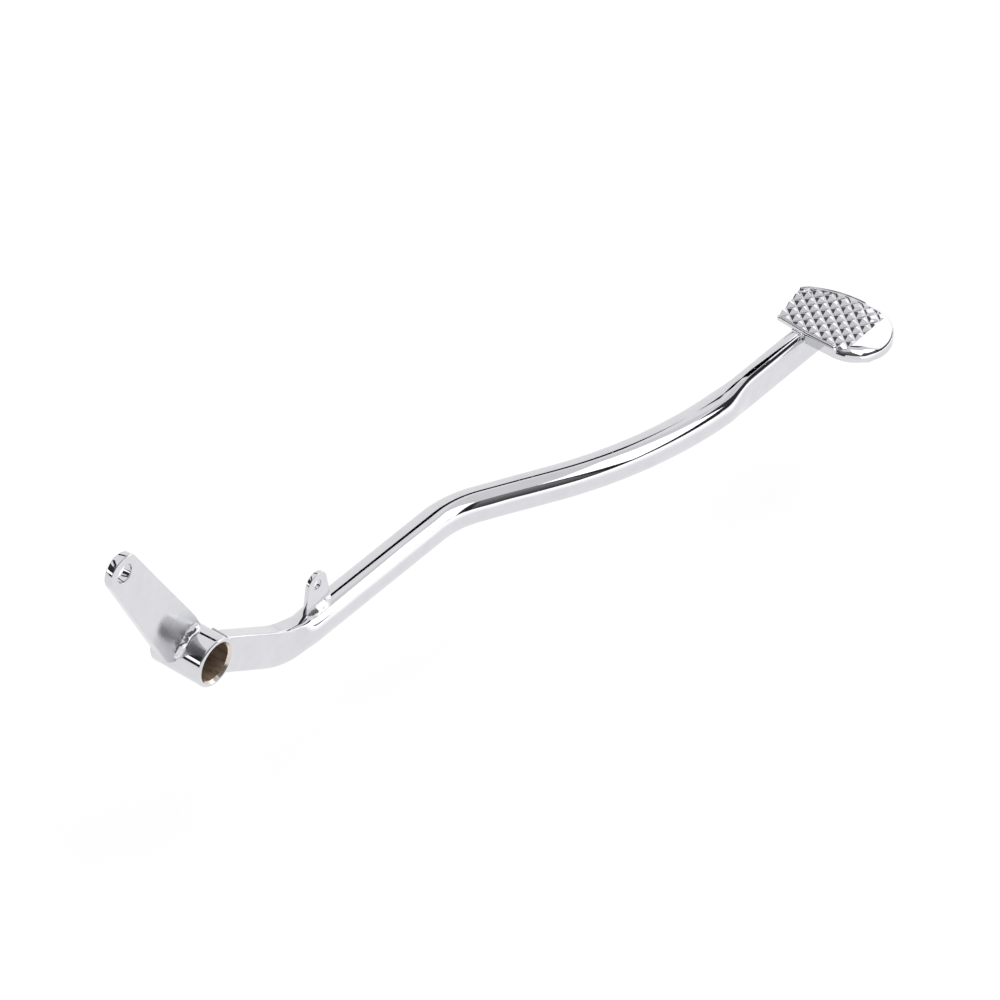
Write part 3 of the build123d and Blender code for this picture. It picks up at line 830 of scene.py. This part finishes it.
def pad_limits(pad, arm):
    """Named places of the pad's plan, as distances forward and outward, and its height."""
    low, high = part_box("foot_pad")
    end = arm_end(arm)
    inner = -end.y - pad.inboard
    rear = low.x
    skirt = -end.y + arm.pad_thickness / 2 + pad.skirt_gap
    tip = inner + pad.length
    return SimpleNamespace(rear=rear, front=rear + pad.width, inner=inner, tip=tip, top=high.z,
                           skirt=skirt, roll=tip - pad.roll, round=tip - pad.width / 2)


def pad_inner_edge(pad, limits, forward):
    """Distance outward of the pad's inner edge at each distance forward."""
    shear = pad.shear
    rear_inner = limits.rear + pad.taper
    front_x = rear_inner + pad.inner_width * math.cos(shear)
    front_o = limits.inner - pad.inner_width * math.sin(shear)
    nose_x = front_x + pad.nose
    nose_o = front_o + pad.nose
    run = pad.flare
    reach = limits.front - nose_x
    radius = (run * run + reach * reach) / (2 * reach)
    slant = (limits.inner - limits.skirt) * (forward - limits.rear) / pad.taper
    taper = limits.skirt + slant
    cut = limits.inner - (forward - rear_inner) * math.tan(shear)
    clip = front_o + (forward - front_x)
    short = np.clip(radius - (limits.front - forward), 0, radius)
    flare = nose_o + run - np.sqrt(np.maximum(radius * radius - short * short, 0))
    steps = [forward < rear_inner, forward < front_x, forward < nose_x]
    return np.select(steps, [taper, cut, clip], flare)


def pad_plan(pad, limits, inset):
    """Grid of plan points inside the pad's outline, moved in by inset: forward and outward."""
    middle = (limits.rear + limits.front) / 2
    radius = pad.width / 2
    across = -np.cos(np.linspace(0, math.pi, PAD_COLUMNS)) * radius
    even = np.linspace(0, 1, PAD_ROWS)
    along = 0.5 * even + 0.5 * (0.5 - 0.5 * np.cos(math.pi * even))
    edge = pad_inner_edge(pad, limits, middle + across)
    round_end = limits.tip - radius + np.sqrt(np.maximum(radius ** 2 - across ** 2, 0))
    inner = edge + inset
    outer = round_end - inset
    shrink = (radius - inset) / radius
    forward = np.repeat((middle + across * shrink)[:, None], PAD_ROWS, axis=1)
    outward = inner[:, None] + (outer - inner)[:, None] * along[None, :]
    return forward, outward


def grid_rim():
    """Grid indices round the border of the pad's grid, in order."""
    rim = [(i, 0) for i in range(PAD_COLUMNS)]
    rim += [(PAD_COLUMNS - 1, j) for j in range(1, PAD_ROWS)]
    rim += [(i, PAD_ROWS - 1) for i in range(PAD_COLUMNS - 2, -1, -1)]
    rim += [(0, j) for j in range(PAD_ROWS - 2, 0, -1)]
    return rim


def distance_to(border_x, border_o, forward, outward):
    """Least distance of each plan point from a closed line of border points."""
    a = np.stack([border_x, border_o], 1)
    b = np.roll(a, -1, axis=0)
    span = b - a
    length = np.maximum((span ** 2).sum(1), SAME_POINT ** 2)
    best = np.full(forward.size, np.inf)
    spots = np.stack([forward.ravel(), outward.ravel()], 1)
    for start, vector, size_squared in zip(a, span, length):
        share = np.clip(((spots - start) @ vector) / size_squared, 0, 1)
        gap = spots - start - share[:, None] * vector
        best = np.minimum(best, (gap ** 2).sum(1))
    return np.sqrt(best).reshape(forward.shape)


def pad_roof(pad, limits, outward):
    """Height of the plain top: level, then rolled down to the outer end."""
    radius = (pad.roll ** 2 + pad.roll_drop ** 2) / (2 * pad.roll_drop)
    past = np.clip(outward - limits.roll, 0, None)
    return limits.top - (radius - np.sqrt(radius ** 2 - past ** 2))


def tread_depth(pad, limits, forward, outward, border):
    """Depth of the two crossing sets of grooves at each plan point."""
    slope = pad.groove * 2 / (pad.pitch - pad.land)
    centre = ((limits.rear + limits.front) / 2, limits.inner + pad.length / 2)
    slant = (outward - limits.inner) * pad.worn_width / pad.length
    worn = smoothstep(0, pad.worn_width, forward + slant - limits.front + pad.worn_width)
    full = pad.groove * (1 - pad.worn * worn)
    long_way = pad.tread - pad.shear
    depth = np.zeros_like(forward)
    for angle, phase in ((long_way, pad.long_phase), (long_way - math.pi / 2, pad.cross_phase)):
        across = (outward - centre[1]) * math.cos(angle) - (forward - centre[0]) * math.sin(angle)
        place = across / pad.pitch - phase
        gap = np.abs(place - np.round(place)) * pad.pitch
        depth = np.maximum(depth, full - slope * gap)
    inside = smoothstep(0, TREAD_RUN_OUT, border - pad.margin)
    at_cut = np.where(outward < limits.skirt, open_inner(pad, limits, forward, outward), 0.0)
    before_roll = smoothstep(0, TREAD_RUN_OUT, limits.roll - outward)
    return depth * np.maximum(inside, at_cut) * before_roll


def open_inner(pad, limits, forward, outward):
    """1 where the grooves run out through the cut inner end, 0 at the rear and front rims."""
    inward = (limits.skirt - outward) / (limits.skirt - limits.inner)
    rear = smoothstep(0, TREAD_RUN_OUT, forward - limits.rear - pad.taper * inward - pad.margin)
    nose = limits.rear + pad.taper + pad.inner_width
    return rear * (1 - smoothstep(nose - pad.margin, nose, forward))


class PEDAL_OT_foot_pad(Operator):
    """Add the pressed foot pad with its diamond tread and rolled end"""
    bl_idname = "pedal.foot_pad"
    bl_label = "Foot pad"

    def execute(self, context):
        pad = context.scene.pedal_pad
        limits = pad_limits(pad, context.scene.pedal_arm)
        forward, outward = pad_plan(pad, limits, 0.0)
        rim = grid_rim()
        rim_x, rim_o = [np.array([plan[spot] for spot in rim]) for plan in (forward, outward)]
        border = distance_to(rim_x, rim_o, forward, outward)
        height = pad_roof(pad, limits, outward)
        height = height - tread_depth(pad, limits, forward, outward, border)
        at_end = smoothstep(0, RIM_CHANGE, outward - limits.round)
        to_tip = smoothstep(*TIP_EDGE_RUN, (forward - limits.rear) / pad.width)
        round_edge = pad.end_edge + (pad.tip_edge - pad.end_edge) * to_tip
        edge = pad.edge + (round_edge - pad.edge) * at_end
        uncut = smoothstep(0, pad.edge, outward - pad_inner_edge(pad, limits, forward))
        edge = np.where(forward > limits.rear + pad.taper, edge * uncut, edge) + pad.cut_edge
        short = np.clip(edge - border, 0, None)
        height = height - (edge - np.sqrt(np.maximum(edge ** 2 - short ** 2, 0)))
        points = list(zip(forward.ravel(), -outward.ravel(), height.ravel()))
        index = np.arange(PAD_COLUMNS * PAD_ROWS).reshape(PAD_COLUMNS, PAD_ROWS)
        faces = [(index[i, j], index[i + 1, j], index[i + 1, j + 1], index[i, j + 1])
                 for i in range(PAD_COLUMNS - 1) for j in range(PAD_ROWS - 1)]
        inside = pad_plan(pad, limits, pad.wall)
        below = self.skirt(points, faces, pad, limits, rim, index, *inside)
        self.underside(points, faces, pad, limits, dict(zip(rim, below)), *inside)
        faces = [tuple(int(i) for i in face) for face in faces]
        add_piece(context, "foot_pad_plated", points, faces, ["plate"], ["foot_pad"],
                  sharp=55)
        return {"FINISHED"}

    def skirt(self, points, faces, pad, limits, rim, index, inside_x, inside_o):
        """Adds the outer wall, its lower rim and the inner wall; returns the inner wall's top ring."""
        bottom = limits.top - pad.sheet
        foot = limits.top - pad.depth
        outer, inner, top = [], [], []
        for spot in rim:
            x, y = points[index[spot]][:2]
            outer.append((x, y, foot if -y > limits.skirt else bottom))
            x, y = inside_x[spot], -inside_o[spot]
            inner.append((x, y, foot if -y > limits.skirt else bottom))
            roof = float(pad_roof(pad, limits, inside_o[spot]))
            top.append((x, y, min(roof - pad.sheet, bottom)))
        upper = [index[spot] for spot in rim]
        for ring in (outer, inner, top):
            lower = range(len(points), len(points) + len(rim))
            points += ring
            for k in range(len(rim)):
                n = (k + 1) % len(rim)
                faces.append((upper[k], upper[n], lower[n], lower[k]))
            upper = lower
        return upper

    def underside(self, points, faces, pad, limits, known, inside_x, inside_o):
        """Closes the hollow under the pad with a coarser grid; known maps the rim's spots to points."""
        across = range(0, PAD_COLUMNS, UNDERSIDE_STEP)
        along = range(0, PAD_ROWS, UNDERSIDE_STEP)
        for i in across[1:-1]:
            for j in along[1:-1]:
                known[i, j] = len(points)
                roof = float(pad_roof(pad, limits, inside_o[i, j]))
                points.append((inside_x[i, j], -inside_o[i, j], roof - pad.sheet))
        for i, i_next in zip(across, across[1:]):
            for j, j_next in zip(along, along[1:]):
                face = [(i, k) for k in range(j, j_next)]
                face += [(k, j_next) for k in range(i, i_next)]
                face += [(i_next, k) for k in range(j_next, j, -1)]
                face += [(k, j) for k in range(i_next, i, -1)]
                faces.append(tuple(known[spot] for spot in face if spot in known))


# Welds

# How quickly an open bead grows to its full radius, and the least share of it at the tip
BEAD_TAPER = 9
TAB_TAPER = 3.2
BEAD_TIP = 0.03

# Height of the lumps, as a share of the bead's radius
LEVER_LUMP = 0.28
PAD_LUMP = 0.2
SMOOTH_LUMP = 0.06

# How far a bead stands out, as a share of its radius
BEAD_SQUASH = 0.8
TAB_SQUASH = 0.55

# Distance of a bead's middle from its corner, as a share of its radius
BEAD_ROOT = 0.2

# Distance of the tab bead's middle below the top of the tube
TAB_BEAD_DROP = 0.8 * MM

# Points round a bead, and steps along each kind of bead
BEAD_COUNT = 32
LEVER_BEAD_STEPS = 120
ARM_BEAD_STEPS = 200
TAB_BEAD_STEPS = 80
PAD_BEAD_STEPS = 70
REAR_BEAD_STEPS = 40

# How much finer the fine lumps are than the coarse ones
FINER = 3


def bead(path, outs, radius, weld, lump, squash=BEAD_SQUASH, taper=BEAD_TAPER, closed=False):
    """Uneven weld bead along a path of points; outs point away from the corner that it fills."""
    rings = []
    last = len(path) - 1
    for i, spot in enumerate(path):
        before = path[i - 1] if closed or i > 0 else spot
        after = path[(i + 1) % len(path)] if closed or i < last else spot
        along = (after - before).normalized()
        out = Vector(outs[i])
        out = (out - along * out.dot(along)).normalized()
        side = along.cross(out)
        full = radius if closed else radius * bead_taper(i, last, taper)
        ring = []
        for angle in circle_angles(BEAD_COUNT):
            near = spot + out * radius * math.cos(angle) + side * radius * math.sin(angle)
            rough = uneven(near, weld.lumps) + weld.fine * uneven(near, weld.lumps / FINER)
            reach = full * (1 + lump * rough)
            ring.append(spot + out * reach * squash * math.cos(angle) + side * reach * math.sin(angle))
        rings.append(ring)
    faces = skin(rings, closed_along=closed)
    if not closed:
        faces.append(tuple(range(BEAD_COUNT))[::-1])
        faces.append(tuple(range(last * BEAD_COUNT, len(rings) * BEAD_COUNT)))
    return joined(rings), faces


def bead_taper(i, last, taper):
    """Share of the full radius that an open bead has at point i of its path."""
    from_end = min(i, last - i) / last
    return math.sqrt(max(min(from_end * taper, 1.0), BEAD_TIP))


def spaced(start, end, steps):
    """Points evenly spaced from start to end, both included."""
    return [Vector(start).lerp(Vector(end), i / steps) for i in range(steps + 1)]


def along_solid(name, y, z, weld, steps):
    """Straight path along a bead's solid, set in at both ends."""
    low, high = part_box(name)
    return spaced((low.x + weld.set_in, y, z), (high.x - weld.set_in, y, z), steps)


def lever_bead(lever, sleeve, weld, side):
    """Path and outward directions of the bead on a face of the lever; side is -1 outward, 1 inboard."""
    face = -lever.face if side < 0 else lever.thickness - lever.face
    radius = sleeve.outside / 2
    margin = weld.lever_margin / radius
    first = lever.front_seat + margin
    sweep = lever.rear_seat - margin - first
    root = BEAD_ROOT * weld.lever
    path, outs = [], []
    for i in range(LEVER_BEAD_STEPS + 1):
        angle = first + sweep * i / LEVER_BEAD_STEPS
        x, z = polar(radius + root, angle)
        path.append(Vector((x, face + side * root, z)))
        outs.append((math.cos(angle), side, math.sin(angle)))
    return path, outs


def arm_bead(arm, sleeve, weld):
    """Path and outward directions of the bead round the arm's rear end."""
    start = arm_places(arm)[0][0][0]
    root = BEAD_ROOT * weld.arm
    path, outs = [], []
    for point in pivot_section(arm, -root, ARM_BEAD_STEPS):
        height = point.y + arm.rise
        reach = math.sqrt(max((sleeve.outside / 2 + root) ** 2 - height ** 2, 0))
        path.append(start @ Vector((point.x, point.y, reach)))
        around = Vector((point.x, point.y, 0)).normalized()
        outs.append(start.to_3x3() @ (around + Vector((0, 0, 1))))
    return path, outs


class PEDAL_OT_welds(Operator):
    """Add the uneven weld beads that join the pieces"""
    bl_idname = "pedal.welds"
    bl_label = "Welds"

    def execute(self, context):
        scene = context.scene
        lever, sleeve, arm = scene.pedal_lever, scene.pedal_sleeve, scene.pedal_arm
        weld = scene.pedal_weld
        for side, name in ((-1, "lever_weld_outer"), (1, "lever_weld_inner")):
            self.add(context, name, *lever_bead(lever, sleeve, weld, side), weld.lever, LEVER_LUMP)
        self.add(context, "arm_weld", *arm_bead(arm, sleeve, weld), weld.arm, SMOOTH_LUMP, closed=True)
        self.tab_bead(context, arm, scene.pedal_tab, weld)
        self.pad_beads(context, arm, scene.pedal_pad, weld)
        return {"FINISHED"}

    def add(self, context, name, path, outs, radius, lump, **shape):
        """Adds one bead in place of its plain solid."""
        points, faces = bead(path, outs, radius, context.scene.pedal_weld, lump, **shape)
        add_piece(context, name + "_bead", points, faces, ["weld"], [name], sharp=70)

    def tab_bead(self, context, arm, tab, weld):
        """Adds the broad, smooth bead along the outward side of the tab's foot."""
        y = -arm.outward - tab.thickness / 2
        z = arm_end(arm).z + arm.tube / 2 - TAB_BEAD_DROP
        path = along_solid("tab_weld", y, z, weld, TAB_BEAD_STEPS)
        self.add(context, "tab_weld", path, [(0, -1, 1)] * len(path), weld.tab, SMOOTH_LUMP,
                 squash=TAB_SQUASH, taper=TAB_TAPER)

    def pad_beads(self, context, arm, pad, weld):
        """Adds the beads under the pad and the small one at its rear edge."""
        limits = pad_limits(pad, arm)
        under = limits.top - pad.sheet
        middle = arm_end(arm).y
        for name, side in (("pad_weld_inboard", 1), ("pad_weld_outward", -1)):
            y = middle + side * arm.pad_thickness / 2
            z = under - weld.pad / 2
            path = along_solid(name, y, z, weld, PAD_BEAD_STEPS)
            self.add(context, name, path, [(0, side, -1)] * len(path), weld.pad, PAD_LUMP)
        low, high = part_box("pad_weld_rear")
        slant = pad.taper / (limits.skirt - limits.inner)
        ends = [(limits.rear + slant * (limits.skirt + y), y, under)
                for y in (low.y + weld.set_in, high.y - weld.set_in)]
        path = spaced(*ends, REAR_BEAD_STEPS)
        self.add(context, "pad_weld_rear", path, [(-1, 0, 1)] * len(path), weld.pad_rear, PAD_LUMP)


# Stage

def rectangle(name, half_wide, half_high, material, z=0.0):
    """Object with one upward face about its middle, linked to the scene."""
    corners = [(-1, -1), (1, -1), (1, 1), (-1, 1)]
    mesh = bpy.data.meshes.new(name)
    mesh.from_pydata([(x * half_wide, y * half_high, z) for x, y in corners], [], [(0, 1, 2, 3)])
    mesh.materials.append(material)
    piece = bpy.data.objects.new(name, mesh)
    bpy.context.scene.collection.objects.link(piece)
    return piece


def bare_tree(owner):
    """Node tree of a new material or world, emptied."""
    owner.use_nodes = True
    owner.node_tree.nodes.clear()
    return owner.node_tree


def card_glow(name, low, high):
    """Plain glow that changes evenly from a card's lower to its upper edge."""
    material = bpy.data.materials.new(name)
    tree = bare_tree(material)
    place = node(tree, "TexCoord").outputs["Generated"]
    height = node(tree, "SeparateXYZ", {"Vector": place}).outputs["Y"]
    level = node(tree, "MapRange", {"Value": height}, {"To Min": low, "To Max": high})
    node(tree, "OutputMaterial", {"Surface": node(tree, "Emission", {"Strength": level})})
    return material


def add_card(name, seen_from, azimuth, elevation, distance, half_wide, half_high, low, high):
    """Adds a card that the metal mirrors and the camera doesn't see, placed by how it looks from a point.

    Only a bright card also lights the rest of the scene.
    """
    angles = (azimuth, elevation, half_wide, half_high)
    azimuth, elevation, half_wide, half_high = [math.radians(angle) for angle in angles]
    flat = math.cos(elevation)
    direction = Vector((math.cos(azimuth) * flat, math.sin(azimuth) * flat, math.sin(elevation)))
    card = rectangle(name, distance * math.tan(half_wide), distance * math.tan(half_high),
                     card_glow(name, low, high))
    card.location = Vector(seen_from) + direction * distance
    card.rotation_mode = "QUATERNION"
    card.rotation_quaternion = direction.to_track_quat("Z", "Y")
    card.visible_camera = False
    card.visible_diffuse = max(low, high) > 1
    card.visible_shadow = False


# Places that the cards are seen from: along the arm, on the pad's outer end and at the sleeve
LEVEL_RUN = (0.11, -0.007, -0.028)
LAST_BEND = (0.297, -0.052, -0.02)
PAD_END = (0.32, -0.053, -0.02)
PAD_TIP = (0.35, -0.075, -0.02)
SLEEVE = (0.0, 0.0, 0.0)

# Each card: where it is seen from, azimuth and elevation of its middle, distance, half its width and
# height as angles, and its glow at the lower and upper edge, where 1 is white
CARDS = (
    ("side_softbox", LEVEL_RUN, -44, 35, 0.29, 13.5, 15, 2.2, 2.2),
    ("pad_softbox", PAD_TIP, 12, 49, 0.12, 18, 16, 1.5, 1.5),
    ("front_table_glow", LEVEL_RUN, -67, 6, 1.0, 42, 12, 1.05, 1.7),
    ("right_softbox", PAD_END, 9, 9, 2.0, 16, 9, 1.7, 1.7),
    ("front_dark_room", PAD_END, -38, 38, 1.1, 22, 13, 0.02, 0.05),
    ("side_dark_room", PAD_END, -76, 36, 1.2, 15, 15, 0.01, 0.05),
    ("camera_side_dark_room", PAD_END, -130, 40, 1.3, 45, 20, 0.02, 0.3),
    ("left_dark_room", PAD_END, 172, 27, 3.2, 22, 28, 0.02, 0.2),
    ("back_seam", LEVEL_RUN, 42, 47.5, 0.62, 19.6, 5.0, 0.0, 0.0),
    ("pad_end_flag", LAST_BEND, 12, 49, 0.15, 16, 7, 0.0, 0.0),
    ("overhead_scrim", PAD_END, -60, 80, 2.0, 24, 24, 0.85, 0.85),
    ("inboard_dark_room", PAD_END, 92, 28, 2.4, 14, 11, 0.1, 0.1),
    ("rear_dark_room", SLEEVE, 132, 33, 2.4, 24, 12, 0.02, 0.05),
    ("rear_upper_gap", SLEEVE, 120, 57, 2.4, 14, 4, 0.03, 0.03),
    ("rear_softbox", SLEEVE, 150, 14, 2.4, 18, 5, 1.8, 1.8),
    ("rear_table_edge", SLEEVE, 150, 5, 2.4, 22, 1.5, 0.0, 0.0),
)


# Half the floor's side, colour of its matt part and its share, and the surround's level as a fill light
FLOOR_REACH = 12.0
FLOOR_COLOUR = "F4F4F4"
FLOOR_MATT = 0.25
FILL_LEVEL = 0.6

# Width of the camera's sensor in millimetres, and how far it sees in metres
SENSOR_WIDTH = 36
SIGHT = 100


class PEDAL_OT_stage(Operator):
    """Add the camera, the floor, the white surround and the studio lights"""
    bl_idname = "pedal.stage"
    bl_label = "Stage"

    def execute(self, context):
        stage = context.scene.pedal_stage
        self.camera(context, stage)
        self.floor(context, stage)
        self.surround(context)
        self.lights(context, stage)
        context.scene.view_settings.view_transform = "Standard"
        return {"FINISHED"}

    def camera(self, context, stage):
        """Adds the camera, aimed so that the pedal sits as in the photograph's frame."""
        a, e = stage.azimuth, stage.elevation
        forward = Vector((-math.sin(a) * math.cos(e), math.cos(a) * math.cos(e), -math.sin(e)))
        right = forward.cross(Vector((0, 0, 1))).normalized()
        up = right.cross(forward)
        aim = (forward + right * stage.aim_right + up * stage.aim_up).normalized()
        level = (right - aim * right.dot(aim)).normalized()
        data = bpy.data.cameras.new("photo_camera")
        data.lens = stage.lens
        data.sensor_width = SENSOR_WIDTH
        data.clip_end = SIGHT
        camera = bpy.data.objects.new("photo_camera", data)
        camera.location = -forward * stage.distance
        camera.rotation_mode = "QUATERNION"
        axes = Matrix((level, level.cross(aim), -aim)).transposed()
        camera.rotation_quaternion = axes.to_quaternion()
        context.scene.collection.objects.link(camera)
        context.scene.camera = camera

    def floor(self, context, stage):
        """Adds the pale floor, which glows almost white and still takes the pedal's shadow."""
        material = bpy.data.materials.new("white_studio_floor")
        tree = bare_tree(material)
        white = rgba(context.scene.pedal_finish.surround)
        glow = node(tree, "Emission", (), {"Color": white, "Strength": 1.0})
        matt = node(tree, "BsdfDiffuse", (), {"Color": rgba(linear(FLOOR_COLOUR))})
        both = node(tree, "MixShader", {1: glow, 2: matt}, {"Fac": FLOOR_MATT})
        node(tree, "OutputMaterial", {"Surface": both})
        rectangle("studio_floor", FLOOR_REACH, FLOOR_REACH, material, -stage.floor_drop)

    def surround(self, context):
        """Sets the white surround that the camera and the metal see, and a softer fill light."""
        world = bpy.data.worlds.new("studio_surround")
        tree = bare_tree(world)
        path = node(tree, "LightPath")
        rays = [path.outputs["Is " + kind + " Ray"] for kind in ("Camera", "Glossy", "Transmission")]
        seen = node(tree, "Math", {0: rays[0], 1: rays[1]}, operation="MAXIMUM")
        seen = node(tree, "Math", {0: seen, 1: rays[2]}, operation="MAXIMUM")
        level = node(tree, "MapRange", {"Value": seen}, {"To Min": FILL_LEVEL, "To Max": 1.0})
        glow = node(tree, "Background", {"Strength": level},
                    {"Color": rgba(context.scene.pedal_finish.surround)})
        node(tree, "OutputWorld", {"Surface": glow})
        context.scene.world = world

    def lights(self, context, stage):
        """Adds the soft lamp, and the cards that give the chrome its bands."""
        key = bpy.data.lights.new("key_softbox", "AREA")
        key.shape = "SQUARE"
        key.size = stage.key_size
        key.energy = stage.key_power
        lamp = bpy.data.objects.new("key_softbox", key)
        lamp.location = stage.key_place
        lamp.rotation_mode = "QUATERNION"
        lamp.rotation_quaternion = (lamp.location - Vector(LEVEL_RUN)).to_track_quat("Z", "Y")
        lamp.visible_camera = False
        lamp.visible_glossy = False
        context.scene.collection.objects.link(lamp)
        for card in CARDS:
            add_card(*card)


# Panel and run

class PEDAL_PT_build(Panel):
    """Lists the pedal's pieces in the sidebar"""
    bl_idname = "PEDAL_PT_build"
    bl_label = "Brake pedal"
    bl_space_type = "VIEW_3D"
    bl_region_type = "UI"
    bl_category = "Pedal"

    def draw(self, context):
        for step in STEPS:
            self.layout.operator(step.bl_idname)
        for name in GROUPS:
            box = self.layout.box()
            group = getattr(context.scene, name)
            for key in group.bl_rna.properties.keys():
                if key not in {"rna_type", "name"}:
                    box.prop(group, key)


STEPS = (
    PEDAL_OT_pivot_sleeve,
    PEDAL_OT_brake_rod_lever,
    PEDAL_OT_arm,
    PEDAL_OT_switch_tab,
    PEDAL_OT_foot_pad,
    PEDAL_OT_welds,
    PEDAL_OT_stage,
)


def register():
    """Registers the settings, the operators and the panel."""
    for name, group in GROUPS.items():
        bpy.utils.register_class(group)
        setattr(bpy.types.Scene, name, PointerProperty(type=group))
    for step in STEPS:
        bpy.utils.register_class(step)
    bpy.utils.register_class(PEDAL_PT_build)


def unregister():
    """Takes away what register added."""
    bpy.utils.unregister_class(PEDAL_PT_build)
    for step in reversed(STEPS):
        bpy.utils.unregister_class(step)
    for name, group in reversed(GROUPS.items()):
        delattr(bpy.types.Scene, name)
        bpy.utils.unregister_class(group)


def main():
    register()
    bpy.ops.pedal.pivot_sleeve()
    bpy.ops.pedal.brake_rod_lever()
    bpy.ops.pedal.arm()
    bpy.ops.pedal.switch_tab()
    bpy.ops.pedal.foot_pad()
    bpy.ops.pedal.welds()
    bpy.ops.pedal.stage()


if __name__ == "__main__":
    main()
